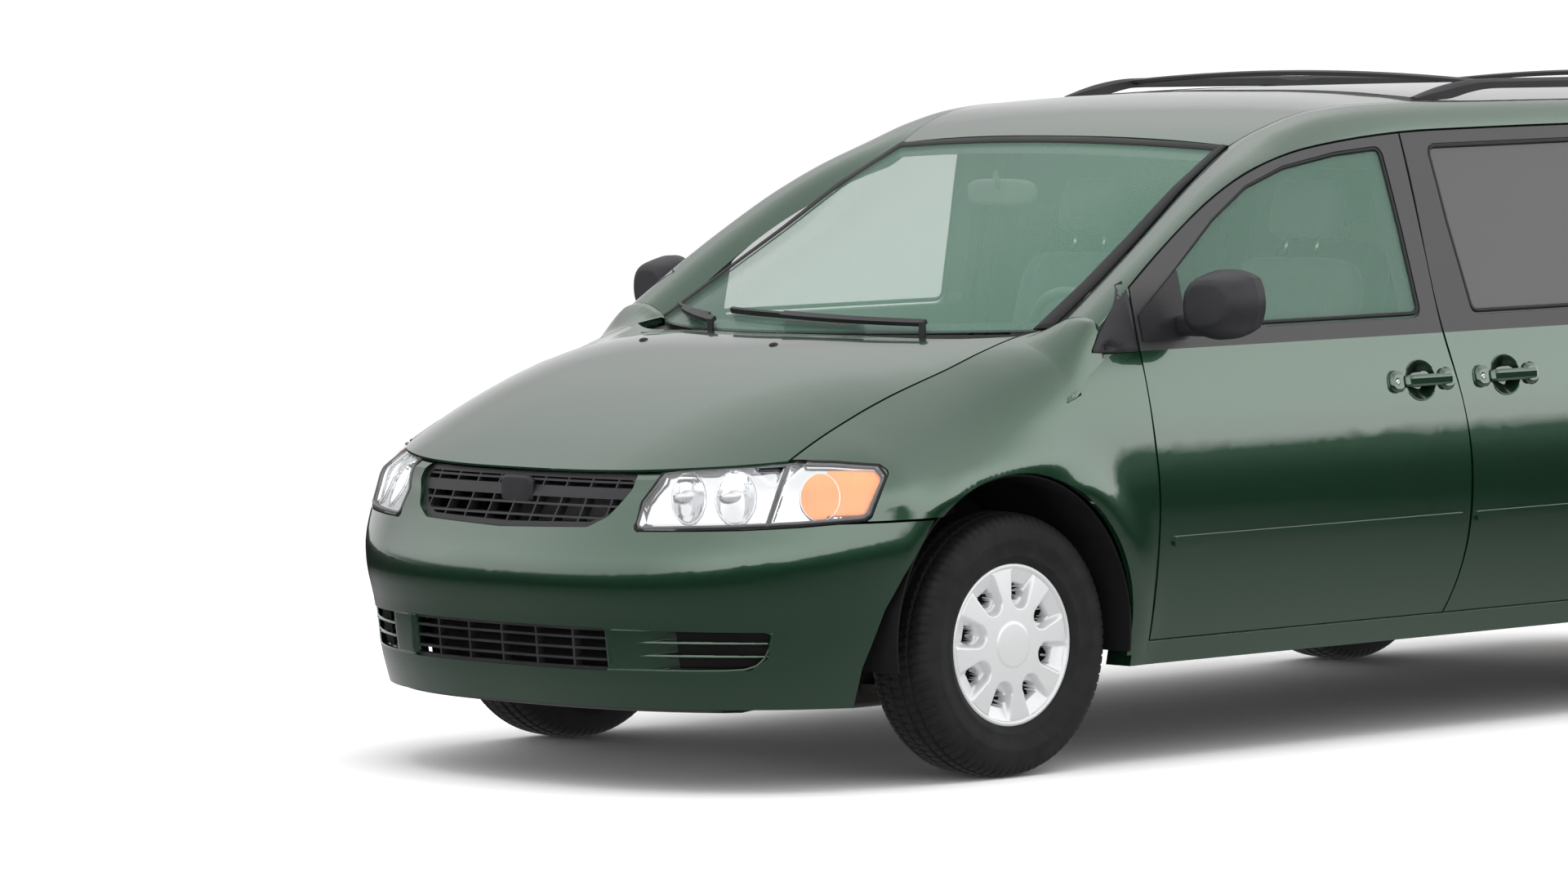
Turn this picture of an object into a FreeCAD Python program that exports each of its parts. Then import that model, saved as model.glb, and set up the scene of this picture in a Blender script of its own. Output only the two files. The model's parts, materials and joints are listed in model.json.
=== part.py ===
import FreeCAD, Part
import math
import os
from FreeCAD import Vector

# Minivan, millimetres. While modelling, X is measured ahead of the front axle line, Y to the car's
# left and Z up from the ground. On export everything moves so that the origin is midway between the
# bumpers. Left-hand pieces are modelled and the right-hand ones are their mirror image.

# Overall sizes
LENGTH = 4915.0
WHEELBASE = 2900.0
FRONT_OVERHANG = 925.0
HALF_WIDTH = 932.0
REAR_END = FRONT_OVERHANG - LENGTH
REAR_AXLE = -WHEELBASE
ORIGIN_SHIFT = LENGTH / 2 - FRONT_OVERHANG

# Wheels
TYRE_RADIUS = 324.0
TYRE_WIDTH = 205.0
TYRE_SHOULDER = 26.0
RIM_RADIUS = 196.0
RIM_WIDTH = 172.0
BARREL_WALL = 9.0
HUB_RADIUS = 62.0
STUB_RADIUS = 28.0
STUB_CLEARANCE = 0.08
FRONT_TRACK = 1565.0
REAR_TRACK = 1590.0
KINGPIN_INSET = 52.0
COVER_WINDOWS = 8
COVER_WINDOW_RADIUS = 25.0
COVER_WINDOW_PITCH = 152.0

# Gaps and panel thicknesses
SHUT_GAP = 6.0
SEAT_GAP = 0.3
SKIN = 16.0
HOOD_THICKNESS = 22.0
ROOF_THICKNESS = 32.0
WALL = 84.0
DOOR_THICKNESS = 76.0
DOOR_LIP = 26.0
JAMB_LEDGE = 18.0
JAMB_CLEARANCE = 12.0
PILLAR_THICKNESS = 42.0
GLASS = 5.0
GLASS_INSET = 5.0
ROOF_GAP = 2.4
HOOD_EDGE = 5.0
HOOD_TAPER = 70.0

# Wheel arches
ARCH_RADIUS = 400.0
ARCH_FORWARD = 25.0
ARCH_Z = 345.0
REAR_ARCH_RADIUS = 385.0
FLARE = 11.0
FLARE_WIDTH = 42.0
LINER = 5.0
LINER_CLEARANCE = 3.0
LINER_INNER_Y = 560.0
FRONT_LINER_INNER_Y = 500.0

# Side of the body
SILL_Z = 246.0
DOOR_BOTTOM = 308.0
BELT_LOW = 1021.0
BELT_HIGH = 1062.0
HOOD_GAP_Y = 705.0
ROLL_Z = 700.0
NOSE_START = 380.0
BUMPER_TOP_Z = 651.0
BUMPER_BOTTOM = 214.0

# Floor and interior
FLOOR_Z = 330.0
REAR_FLOOR_Z = 400.0
FLOOR_STEP_X = REAR_AXLE + 490.0
FLOOR_THICKNESS = 26.0
FLOOR_HALF_WIDTH = 803.5
FIREWALL_X = -410.0
BODY_FRONT = -385.0

SEATS_Y = 390.0


def guide(points):
    """A smooth curve through a few (station, value) points that never overshoots them."""
    points = sorted(points)
    xs = [p[0] for p in points]
    ys = [p[1] for p in points]
    steps = [(ys[i + 1] - ys[i]) / (xs[i + 1] - xs[i]) for i in range(len(xs) - 1)]
    slopes = [steps[0]]
    for before, after in zip(steps, steps[1:]):
        slopes.append(0.0 if before * after <= 0 else 2 * before * after / (before + after))
    slopes.append(steps[-1])

    def value(x):
        if x <= xs[0]:
            return ys[0] + slopes[0] * (x - xs[0])
        if x >= xs[-1]:
            return ys[-1] + slopes[-1] * (x - xs[-1])
        i = 0
        while xs[i + 1] < x:
            i += 1
        h = xs[i + 1] - xs[i]
        t = (x - xs[i]) / h
        return (ys[i] * (1 + 2 * t) * (1 - t) ** 2 + ys[i + 1] * t * t * (3 - 2 * t)
                + h * t * (1 - t) * (slopes[i] * (1 - t) - slopes[i + 1] * t))

    return value


def span(low, high, count):
    """Evenly spaced values from low to high, both included."""
    return [low + (high - low) * i / (count - 1) for i in range(count)]


# Surfaces from grids of points

def sheet(grid):
    """A smooth face shaped by a grid of points, through the points on its border."""
    rows = len(grid)
    columns = len(grid[0])
    row_knots = list(range(rows - 2))
    column_knots = list(range(columns - 2))
    surface = Part.BSplineSurface()
    surface.buildFromPolesMultsKnots(
        grid, [4] + [1] * (rows - 4) + [4], [4] + [1] * (columns - 4) + [4],
        row_knots, column_knots, False, False, 3, 3)
    return surface.toShape()


def border_curve(points):
    """The border edge that sheet() has along a row or column of its points."""
    curve = Part.BSplineCurve()
    curve.buildFromPolesMultsKnots(
        points, [4] + [1] * (len(points) - 4) + [4], list(range(len(points) - 2)), False, 3)
    return curve.toShape()


def slab(outer, inner):
    """The solid between two grids of points of the same layout."""
    faces = [sheet(outer), sheet(inner)]
    for pick in (lambda g: g[0], lambda g: g[-1], lambda g: [r[0] for r in g], lambda g: [r[-1] for r in g]):
        faces.append(Part.makeRuledSurface(border_curve(pick(outer)), border_curve(pick(inner))))
    shell = Part.makeShell(faces)
    shell.sewShape()
    solid = Part.makeSolid(shell.Shells[0])
    if solid.Volume < 0:
        solid.reverse()
    return solid


def moved(grid, step):
    """The grid shifted by step."""
    return [[p + step for p in row] for row in grid]


def inset_grid(grid, depth, inward):
    """The grid offset along its normals by depth, to the side that inward(point) points to."""
    result = []
    for i, row in enumerate(grid):
        line = []
        for j, p in enumerate(row):
            along = grid[min(i + 1, len(grid) - 1)][j] - grid[max(i - 1, 0)][j]
            across = row[min(j + 1, len(row) - 1)] - row[max(j - 1, 0)]
            normal = along.cross(across)
            normal.normalize()
            if normal.dot(inward(p)) < 0:
                normal = normal * -1
            line.append(p + normal * depth)
        result.append(line)
    return result


# Outlines and prisms

def place(a, b, plane):
    return {"XZ": Vector(a, 0, b), "YZ": Vector(0, a, b), "XY": Vector(a, b, 0)}[plane]


def closed_face(runs, plane):
    """A flat face whose border is a chain of runs: straight between two points, else a smooth curve."""
    edges = []
    for run in runs:
        points = [place(a, b, plane) for a, b in run]
        if len(points) == 2:
            edges.append(Part.LineSegment(points[0], points[1]).toShape())
        else:
            curve = Part.BSplineCurve()
            curve.interpolate(points)
            edges.append(curve.toShape())
    return Part.Face(Part.Wire(edges))


def prism(runs, plane, low, high):
    """The outline pushed through from low to high, square to its plane."""
    direction = {"XZ": Vector(0, 1, 0), "YZ": Vector(1, 0, 0), "XY": Vector(0, 0, 1)}[plane]
    face = closed_face(runs, plane)
    face.translate(direction * low)
    return face.extrude(direction * (high - low))


def polygon(points):
    """The runs of a straight-sided outline."""
    return [[p, q] for p, q in zip(points, points[1:] + points[:1])]


def rounded(points, radius):
    """The face border of a straight-sided outline with every corner rounded, as runs."""
    runs = []
    ends = []
    count = len(points)
    for i, (px, py) in enumerate(points):
        ax, ay = points[i - 1]
        bx, by = points[(i + 1) % count]
        la = math.hypot(ax - px, ay - py)
        lb = math.hypot(bx - px, by - py)
        ua = ((ax - px) / la, (ay - py) / la)
        ub = ((bx - px) / lb, (by - py) / lb)
        turn = math.acos(max(-1.0, min(1.0, ua[0] * ub[0] + ua[1] * ub[1])))
        cut = min(radius / math.tan(turn / 2), 0.45 * la, 0.45 * lb)
        start = (px + ua[0] * cut, py + ua[1] * cut)
        end = (px + ub[0] * cut, py + ub[1] * cut)
        weight = math.cos((math.pi - turn) / 2) / (1 + math.cos((math.pi - turn) / 2))
        middle = tuple(s * (1 - weight) + p * weight for s, p in
                       zip(((start[0] + end[0]) / 2, (start[1] + end[1]) / 2), (px, py)))
        ends.append((start, middle, end))
    for (start, middle, end), (following, _, _) in zip(ends, ends[1:] + ends[:1]):
        runs.append([start, middle, end])
        runs.append([end, following])
    return runs


def box(x0, x1, y0, y1, z0, z1, radius=0.0):
    """An upright box, with its edges rounded where a radius is given."""
    solid = Part.makeBox(x1 - x0, y1 - y0, z1 - z0, Vector(x0, y0, z0))
    return solid.makeFillet(radius, solid.Edges) if radius else solid


def rod(start, end, radius):
    start = Vector(*start)
    along = Vector(*end) - start
    return Part.makeCylinder(radius, along.Length, start, along)


def bar_along_y(x, z, radius, y0, y1):
    return Part.makeCylinder(radius, y1 - y0, Vector(x, y0, z), Vector(0, 1, 0))


def mirrored(shape):
    return shape.mirror(Vector(0, 0, 0), Vector(0, 1, 0))


def both(shape):
    """A left-hand piece and its mirror image, as two solids of one node."""
    return Part.makeCompound([shape, mirrored(shape)])


def fused(shapes):
    whole = shapes[0].fuse(shapes[1:])
    return whole.removeSplitter() if len(whole.Solids) == 1 else whole


# The shape of the body

half_width = guide([(REAR_END, 892), (REAR_AXLE - 800, 910), (REAR_AXLE, 921), (REAR_AXLE + 600, 930),
                    (-1500, HALF_WIDTH), (-500, HALF_WIDTH - 1), (0, 920), (NOSE_START, 914)])
side_inset = guide([(150, 78), (250, 52), (400, 24), (550, 7), (700, 0), (850, 9), (950, 24), (1040, 44),
                    (1200, 83), (1400, 134), (1540, 174), (1600, 194)])
nose_x = guide([(180, 862), (210, 872), (290, 894), (400, 903), (500, FRONT_OVERHANG), (560, 919), (600, 903),
                (650, 880), (700, 849)])
hood_centre = guide([(-330, 1084), (-189, 1076), (70, 1066), (200, 1050), (320, 1021), (440, 979),
                     (560, 924), (700, 844), (812, 767)])
hood_drop = guide([(-330, 2), (-189, 14), (-60, 43), (79, 81), (216, 102), (320, 111), (405, 116),
                   (567, 118), (812, 119)])
roll_power = guide([(-450, 30), (-324, 28), (-189, 13), (-60, 6), (79, 3.4), (200, 2.6), (320, 2.3), (567, 1.9),
                    (700, 1.5), (850, 1.15)])
tail_x = guide([(200, 60), (300, 18), (400, 3), (500, 0), (600, 12), (640, 62), (700, 74), (800, 78),
                (1000, 92), (1080, 104), (1300, 178), (1500, 264), (1575, 300)])
drip_z = guide([(-295, 1086), (-472, 1209), (-609, 1295), (-780, 1390), (-948, 1457), (-1147, 1502),
                (-1434, 1530), (-1600, 1537), (-2153, 1540), (REAR_AXLE, 1534), (REAR_AXLE - 800, 1502)])
ditch_y = guide([(-300, 722), (-490, 700), (-665, 670), (-842, 640), (-1039, 604), (-1125, 622), (-1290, 642),
                 (-1500, 655), (-2200, 660), (REAR_AXLE, 655), (REAR_AXLE - 800, 636)])
ditch_z = guide([(-300, 1076), (-490, 1185), (-665, 1290), (-842, 1403), (-1039, 1505), (-1125, 1545),
                 (-1290, 1590), (-1450, 1603), (-1700, 1606), (-2200, 1602), (REAR_AXLE, 1590),
                 (REAR_AXLE - 800, 1548)])
roof_centre = guide([(-1000, 1522), (-1100, 1566), (-1250, 1603), (-1500, 1629), (-1900, 1640), (-2600, 1636),
                     (-3300, 1612), (REAR_AXLE - 800, 1570)])
HOOD_POWER = 3.2
NOSE_FULLNESS = 2.67
NOSE_ROUNDNESS = 1.6
HOOD_CORNER_WIDTH = 790.0
TAIL_START = REAR_END + 330.0
ROOF_REAR = REAR_END + 300.0
ROOF_REAR_SWEEP = 22.0
TAIL_FULLNESS = 4.2
CORNER_DEPTH = 45.0
DRIP_EDGE = 3.0
PILLAR_BULGE = 26.0


def hood_z(x, y):
    return hood_centre(x) - hood_drop(x) * (abs(y) / HOOD_GAP_Y) ** HOOD_POWER


def flare(x, z):
    """How far the wheel arches stand out of the side."""
    out = 0.0
    for centre, radius in ((ARCH_FORWARD, ARCH_RADIUS), (REAR_AXLE, REAR_ARCH_RADIUS)):
        away = (math.hypot(x - centre, z - ARCH_Z) - radius - 20) / FLARE_WIDTH
        out += FLARE * math.exp(-away * away)
    return out


def side_y(x, z):
    """Half the width of the body at a station and a height."""
    return half_width(x) - side_inset(z) + flare(x, z)


def nose_angles(count):
    """Angles round the nose, from the side to the middle, that give about even spacing."""
    steps = [math.radians(90) * i / 600 for i in range(601)]
    points = [nose_point(a, 500) for a in steps]
    lengths = [0.0]
    for p, q in zip(points, points[1:]):
        lengths.append(lengths[-1] + p.distanceToPoint(q))
    angles = []
    for target in span(0, lengths[-1], count):
        i = min(j for j, length in enumerate(lengths) if length >= target - 1e-6)
        angles.append(steps[i])
    return angles[::-1]


def nose_point(angle, z):
    """A point of the nose below the lamps' top, by angle: 0 in the middle, 90 degrees at the side."""
    reach = nose_x(z) - NOSE_START
    return Vector(NOSE_START + reach * math.cos(angle) ** (2 / NOSE_ROUNDNESS),
                  side_y(NOSE_START, z) * math.sin(angle) ** (2 / NOSE_FULLNESS), z)


def nose_edge(angle):
    """A point of the hood's front edge and of the front of its side edge, by angle."""
    x = NOSE_START + (812 - NOSE_START) * math.cos(angle) ** (2 / NOSE_ROUNDNESS)
    y = min(HOOD_GAP_Y, HOOD_CORNER_WIDTH * math.sin(angle) ** (2 / 3.0))
    return Vector(x, y, hood_z(x, y))


def front_column(top, level, power):
    """One upright line of the front skin: level(z) up to ROLL_Z, then rolling in to the point top."""
    column = [level(z) for z in span(BUMPER_BOTTOM - 10, ROLL_Z, 18)]
    for step in span(0, 1, 9)[1:]:
        t = 1 - (1 - step) ** 1.6
        z = ROLL_Z + (top.z - ROLL_Z) * t
        start = level(min(z, 1100)) if top.x < NOSE_START + 1 else level(ROLL_Z)
        share = t ** power
        column.append(Vector(start.x + (top.x - start.x) * share, start.y + (top.y - start.y) * share, z))
    return column


def front_grid():
    """Points of the left front skin: fender side, then round the nose to the middle."""
    grid = []
    for x in span(-450, NOSE_START - 30, 21):
        top = Vector(x, HOOD_GAP_Y, hood_z(x, HOOD_GAP_Y))
        grid.append(front_column(top, lambda z, x=x: Vector(x, side_y(x, z), z), roll_power(x)))
    for angle in nose_angles(24):
        top = nose_edge(angle)
        grid.append(front_column(top, lambda z, a=angle: nose_point(a, z), roll_power(top.x)))
    return grid


def full_front_grid():
    half = [column for column in front_grid() if column[0].x > 240]
    other = [[Vector(p.x, -p.y, p.z) for p in column] for column in half[:-1][::-1]]
    return half + other


def tail_inward(p):
    return Vector(max(0.0, TAIL_START + 200 - p.x), -p.y, 0)


def front_inward(p):
    return Vector(min(0.0, NOSE_START - p.x), -p.y, -60)


def side_grid(x_front, x_rear, top=drip_z, shift=0.0, low=SILL_Z, count=None):
    """Points of the left side between two stations, from the sill to the drip line."""
    count = count or max(6, int(abs(x_front - x_rear) / 45))
    grid = []
    for x in span(x_front, x_rear, count):
        grid.append([Vector(x, side_y(x, z) + shift, z) for z in span(low, top(x), 26)])
    return grid


def tail_point(angle, z, inside=0.0, inside_y=0.0):
    """A point round the rear corner, by angle: 90 degrees at the side, 0 in the middle of the tail.

    inside and inside_y move it in from the tail and from the side."""
    reach = max(12.0, TAIL_START - (REAR_END + tail_x(z)) - inside)
    return Vector(TAIL_START - reach * math.cos(angle),
                  (side_y(TAIL_START, z) - inside_y) * math.sin(angle) ** (2 / TAIL_FULLNESS), z)


def tail_grid(low, top_side, top_middle, count=18, ahead=240):
    """Points from the left side round the rear corner to the middle of the tail."""
    grid = []
    for x in span(TAIL_START + ahead, TAIL_START + 40, 3 + ahead // 80):
        grid.append([Vector(x, side_y(x, z), z) for z in span(low, top_side, 26)])
    return grid + tail_corner(low, top_side, top_middle, count)


def tail_corner(low, top_side, top_middle, count=18):
    """The part of the tail's points that turns round the corner."""
    grid = []
    for i in range(count):
        angle = math.radians(90) * (1 - i / (count - 1))
        share = math.cos(angle) ** 2
        top = top_side + (top_middle - top_side) * share
        grid.append([tail_point(angle, z) for z in span(low, top, 26)])
    return grid


def side_column(foot, top, end, depth):
    """One upright line of the body side: up the wall, then over the drip edge to the roof's edge.

    foot(z) gives the wall, top is its highest point and end the edge of the roof or windscreen.
    depth(z) gives the wall's inner side. The lines of the outer and of the inner skin are returned."""
    outer = [foot(z) for z in span(SILL_Z - 8, top.z - 8, 26)]
    outward = Vector(0, DRIP_EDGE, 0)
    chord = end - top - outward
    across = Vector(-chord.y, chord.x, 0).cross(chord)
    across.normalize()
    if across.z < 0:
        across = across * -1
    outer += [top + outward + chord * t + across * (PILLAR_BULGE * 4 * t * (1 - t)) for t in span(0, 1, 8)]
    shoulder = depth(top.z - PILLAR_THICKNESS + 6)
    inner = [depth(z) for z in span(SILL_Z - 8, shoulder.z - 10, 26)]
    low = end - Vector(0, 0, PILLAR_THICKNESS)
    chord = low - shoulder
    inner += [shoulder + chord * t + Vector(0, 0, 4 * 12 * t * (1 - t)) for t in span(0, 1, 8)]
    return outer, inner


def body_side_slab():
    """Wall, windscreen pillar and roof side in one, round to the middle of the tail."""
    outer = []
    inner = []
    for x in span(-300, TAIL_START, 76):
        top = Vector(x, side_y(x, drip_z(x)), drip_z(x))
        skins = side_column(lambda z, x=x: Vector(x, side_y(x, z), z), top, Vector(x, ditch_y(x), ditch_z(x)),
                            lambda z, x=x: Vector(x, side_y(x, z) - WALL, z))
        outer.append(skins[0])
        inner.append(skins[1])
    end = Vector(0, ditch_y(TAIL_START), ditch_z(TAIL_START)) - Vector(0, side_y(TAIL_START, drip_z(TAIL_START)),
                                                                       drip_z(TAIL_START))
    for step in span(0, 1, 18)[1:]:
        angle = math.radians(90) * (1 - step)
        share = math.sin(angle)
        height = drip_z(TAIL_START) + 32 * (1 - share * share)
        top = tail_point(angle, height)
        inward = end * share + Vector(10, -8, 0) * (1 - share)
        skins = side_column(lambda z, a=angle: tail_point(a, z), top, top + inward,
                            lambda z, a=angle: tail_point(a, z, CORNER_DEPTH, WALL))
        outer.append(skins[0])
        inner.append(skins[1])
    return slab(outer, inner)


def arch_cut(x, radius, y0=500.0, y1=1100.0):
    return bar_along_y(x, ARCH_Z, radius, y0, y1)


# Door outlines, seen from the side. grow widens them by the shut gap or narrows them.

front_door_front = guide([(DOOR_BOTTOM, -446), (598, -457), (BELT_LOW, -430), (1400, -430)])
front_door_rear = guide([(DOOR_BOTTOM, -1505), (420, -1556), (574, -1582), (800, -1565), (1039, -1515),
                         (1300, -1504), (1560, -1498)])
SLIDING_DOOR_REAR = -2462.0


def door_outline(front, rear, bottom, grow):
    """Runs round a door: up its front edge, back along the drip line, down its rear edge."""
    low = bottom - grow
    front_top = meet(lambda z: front(z) + grow, grow)
    rear_top = meet(lambda z: rear(z) - grow, grow)
    up = [(front(z) + grow, z) for z in span(low, front_top[1], 6)]
    over = [(x, drip_z(x) - SHUT_GAP + grow * 1.2) for x in span(up[-1][0], rear_top[0], 9)]
    down = [(rear(z) - grow, z) for z in span(over[-1][1], low, 8)]
    up[-1] = over[0]
    down[0] = over[-1]
    return [up, over, down, [down[-1], up[0]]]


def meet(edge, grow):
    """Where an edge x = edge(z) comes to the drip line."""
    z = 1500.0
    for _ in range(60):
        z = 0.5 * z + 0.5 * (drip_z(edge(z)) - SHUT_GAP + grow * 1.2)
    return edge(z), z


def front_door_outline(grow):
    return door_outline(front_door_front, front_door_rear, DOOR_BOTTOM, grow)


def sliding_door_outline(grow):
    return door_outline(lambda z: front_door_rear(z) - SHUT_GAP, lambda z: SLIDING_DOOR_REAR, DOOR_BOTTOM, grow)


def window_outline(points, shrink):
    """A window seen from the side, its four sides moved in by shrink."""
    cx = sum(p[0] for p in points) / len(points)
    cz = sum(p[1] for p in points) / len(points)
    wide = max(p[0] for p in points) - min(p[0] for p in points)
    high = max(p[1] for p in points) - min(p[1] for p in points)
    return rounded([(cx + (x - cx) * (1 - 2 * shrink / wide), cz + (z - cz) * (1 - 2 * shrink / high))
                    for x, z in points], 28)


FRONT_WINDOW = [(-580, BELT_HIGH), (-580, 1205), (-760, 1334), (-900, 1412), (-1050, 1458), (-1250, 1488),
                (-1424, 1500), (-1440, 1280), (-1452, BELT_HIGH)]
SLIDING_WINDOW = [(-1640, BELT_HIGH), (-1606, 1300), (-1590, 1500), (-2390, 1504), (-2404, BELT_HIGH)]
QUARTER_WINDOW = [(-2530, BELT_HIGH), (-2520, 1500), (-3420, 1478), (-3560, BELT_HIGH)]
LOW_CUT = 300.0
HIGH_CUT = 1300.0


def side_prism(runs, y0=LOW_CUT, y1=HIGH_CUT):
    return prism(runs, "XZ", y0, y1)


def door(outline, x_front, x_rear, window):
    """A door: a lip with the outer skin, a thicker middle that fits the jamb, and a window."""
    outer = side_grid(x_front, x_rear)
    lip = slab(outer, moved(outer, Vector(0, -DOOR_LIP, 0)))
    middle = slab(moved(outer, Vector(0, -DOOR_LIP / 2, 0)), moved(outer, Vector(0, -DOOR_THICKNESS, 0)))
    solid = lip.common(side_prism(outline(0)))
    solid = solid.fuse(middle.common(side_prism(outline(-JAMB_LEDGE - JAMB_CLEARANCE))))
    return solid.cut(side_prism(window_outline(window, 0))).Solids[0]


def side_pane(x_front, x_rear, window):
    """A pane that fills a side window, just inside the skin."""
    outer = side_grid(x_front, x_rear, shift=-GLASS_INSET)
    pane = slab(outer, moved(outer, Vector(0, -GLASS, 0)))
    return pane.common(side_prism(window_outline(window, SEAT_GAP + 0.1))).Solids[0]


def front_door_left():
    solid = door(front_door_outline, -380, -1640, FRONT_WINDOW)
    return fused([solid, handle(-1427), moulding(-501, -1566)])


def sliding_door_left():
    solid = door(sliding_door_outline, -1440, -2520, SLIDING_WINDOW)
    return fused([solid, handle(-1746), moulding(-1600, SLIDING_DOOR_REAR + 12)])


def handle(x):
    """A pull handle that stands out of the door, with its two ends let into the skin."""
    z = 905.0
    y = side_y(x, z)
    grip = box(x - 78, x + 78, y + 10, y + 26, z - 12, z + 14, 7)
    for end in (x - 66, x + 66):
        grip = grip.fuse(box(end - 14, end + 14, y - 12, y + 14, z - 12, z + 12))
    return grip


def moulding(x_front, x_rear):
    """The rub strip along the door."""
    grid = side_grid(x_front, x_rear, top=lambda x: 575.0, low=520.0)
    strip = slab(moved(grid, Vector(0, 8, 0)), moved(grid, Vector(0, -8, 0)))
    height = 13.0
    middle = 547.0
    runs = rounded([(x_front, middle - height), (x_front, middle + height), (x_rear, middle + height),
                    (x_rear, middle - height)], 12)
    return strip.common(side_prism(runs))


def body_side_left():
    """Sill, pillars, roof side and rear quarter of the left side, with its door openings."""
    plain = side_grid(-306, TAIL_START + 40)
    seat = slab(moved(plain, Vector(0, 60, 0)), moved(plain, Vector(0, -DOOR_LIP - SEAT_GAP, 0)))
    arch_side = polygon([(-200, 200), (-200, 1036), (-306, 1036), (-306, 800), (BODY_FRONT, 780), (BODY_FRONT, 200)])
    openings = [side_prism(arch_side), fender_space(), liftgate_prism(SHUT_GAP)]
    openings.append(box(ROOF_REAR - ROOF_REAR_SWEEP - ROOF_GAP, ROOF_REAR + 240, -10,
                        ditch_y(ROOF_REAR) - ROOF_GAP + 2.5, 1400, 1700))
    openings.append(box(REAR_END - 50, 200, -20, 1100, 100, SILL_Z))
    openings.append(side_prism(window_outline(QUARTER_WINDOW, 0)))
    openings.append(arch_cut(REAR_AXLE, REAR_ARCH_RADIUS))
    for outline in (front_door_outline, sliding_door_outline):
        openings.append(seat.common(side_prism(outline(SHUT_GAP))))
        openings.append(side_prism(outline(-JAMB_LEDGE)))
    openings.append(rear_bumper_zone(SHUT_GAP / 2))
    openings.append(tail_lamp_prism(SEAT_GAP))
    openings.append(box(REAR_END - 50, 900, -300, SEAT_GAP / 2, 0, 2000))
    return largest(body_side_slab().cut(openings))


def fender_space():
    """The fender with its thickness and everything outside it, so that the body stays clear."""
    grid = [column for column in front_grid() if column[0].x < -200]
    space = slab(inset_grid(grid, -50, front_inward), inset_grid(grid, SKIN + SEAT_GAP, front_inward))
    return space.common(prism(fender_outline(), "XZ", HOOD_GAP_Y - 20, 1100))


def fender_outline():
    return polygon([(-440, 274), (-451, 598), (-424, BELT_LOW), (-300, 1046), (-280, 1058), (-280, 1160), (900, 1160),
                    (900, 790), (500, BUMPER_TOP_Z + 12), (495, BUMPER_TOP_Z + SHUT_GAP / 2),
                    (200, BUMPER_TOP_Z + SHUT_GAP / 2), (200, 274)])


def largest(shape):
    return max(shape.Solids, key=lambda s: s.Volume)


def liftgate_prism(grow):
    """The liftgate's outline seen from behind, pushed forward through the tail."""
    low = 664 - grow
    over = [(y, roof_z(ROOF_REAR, y) - ROOF_THICKNESS - SHUT_GAP + grow) for y in span(602 + grow, -602 - grow, 11)]
    half = [(700 + grow, low), (716 + grow, 860), (690 + grow, 1080), (640 + grow, 1400), over[0]]
    other = [(-y, z) for y, z in half[::-1]]
    runs = [[other[-1], half[0]], half, over, other]
    return prism(runs, "YZ", REAR_END - 60, TAIL_START + 110)


def rear_bumper_zone(grow):
    """Everything behind and below the rear bumper's edges."""
    return prism(polygon([(REAR_END - 90, 640 + grow), (REAR_AXLE - 330 + grow, 640 + grow),
                          (REAR_AXLE - 400 + grow, 480), (REAR_AXLE - 400 + grow, 100), (REAR_END - 90, 100)]),
                 "XZ", -1200, 1200)


def tail_lamp_prism(grow):
    """A tail lamp at the rear corner, seen from behind."""
    left = rounded([(724 - grow, 760 - grow), (900 + grow, 760 - grow), (900 + grow, 1040 + grow),
                    (712 - grow, 1090 + grow)], 20)
    return prism(left, "YZ", REAR_END - 60, TAIL_START - 40)


def full_tail_grid(low, top_side, top_middle, ahead=240):
    half = tail_grid(low, top_side, top_middle, ahead=ahead)
    other = [[Vector(p.x, -p.y, p.z) for p in column] for column in half[:-1][::-1]]
    return half + other


NODES = {}


def keep(name, shape):
    NODES[name] = shape


def keep_pair(name, shape):
    keep(name + "_left", shape)
    keep(name + "_right", mirrored(shape))


# Front end: one skin surface, shared out between fenders, bumper, lamps and grilles

def lamp_prism(points, grow, depth=500.0):
    """A lamp outline at the left front corner, seen along the diagonal, pushed through the skin.

    Each point is given by its place across the view, positive towards the nose, and its height."""
    cx = sum(p[0] for p in points) / len(points)
    cz = sum(p[1] for p in points) / len(points)
    wide = max(p[0] for p in points) - min(p[0] for p in points)
    high = max(p[1] for p in points) - min(p[1] for p in points)
    runs = rounded([(cx + (x - cx) * (1 + 2 * grow / wide), cz + (z - cz) * (1 + 2 * grow / high))
                    for x, z in points], 14)
    solid = prism(runs, "XZ", 560.0, 560.0 + depth)
    solid.rotate(Vector(0, 0, 0), Vector(0, 0, 1), -45)
    return solid


LAMP = [(283, 634), (266, 700), (212, 772), (150, 784), (20, 792), (-105, 797), (-200, 794), (-303, 785),
        (-328, 768), (-286, 664), (-272, 655), (-120, 645), (20, 639)]
LAMP_SPLIT_TOP = -100.0
LAMP_SPLIT_LOW = -24.0
LAMP_GAP = 3.0
LAMP_DEPTH = 70.0
LAMP_INSET = 1.5

GRILLE = [(-391, 764), (-396, 730), (-352, 664), (-300, 638), (0, 629), (300, 638), (352, 664), (396, 730),
          (391, 764)]
INTAKE = [(-366, 398), (-366, 294), (366, 294), (366, 398)]
FOG = [(372, 300), (372, 396), (738, 392), (724, 330), (690, 300)]


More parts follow.
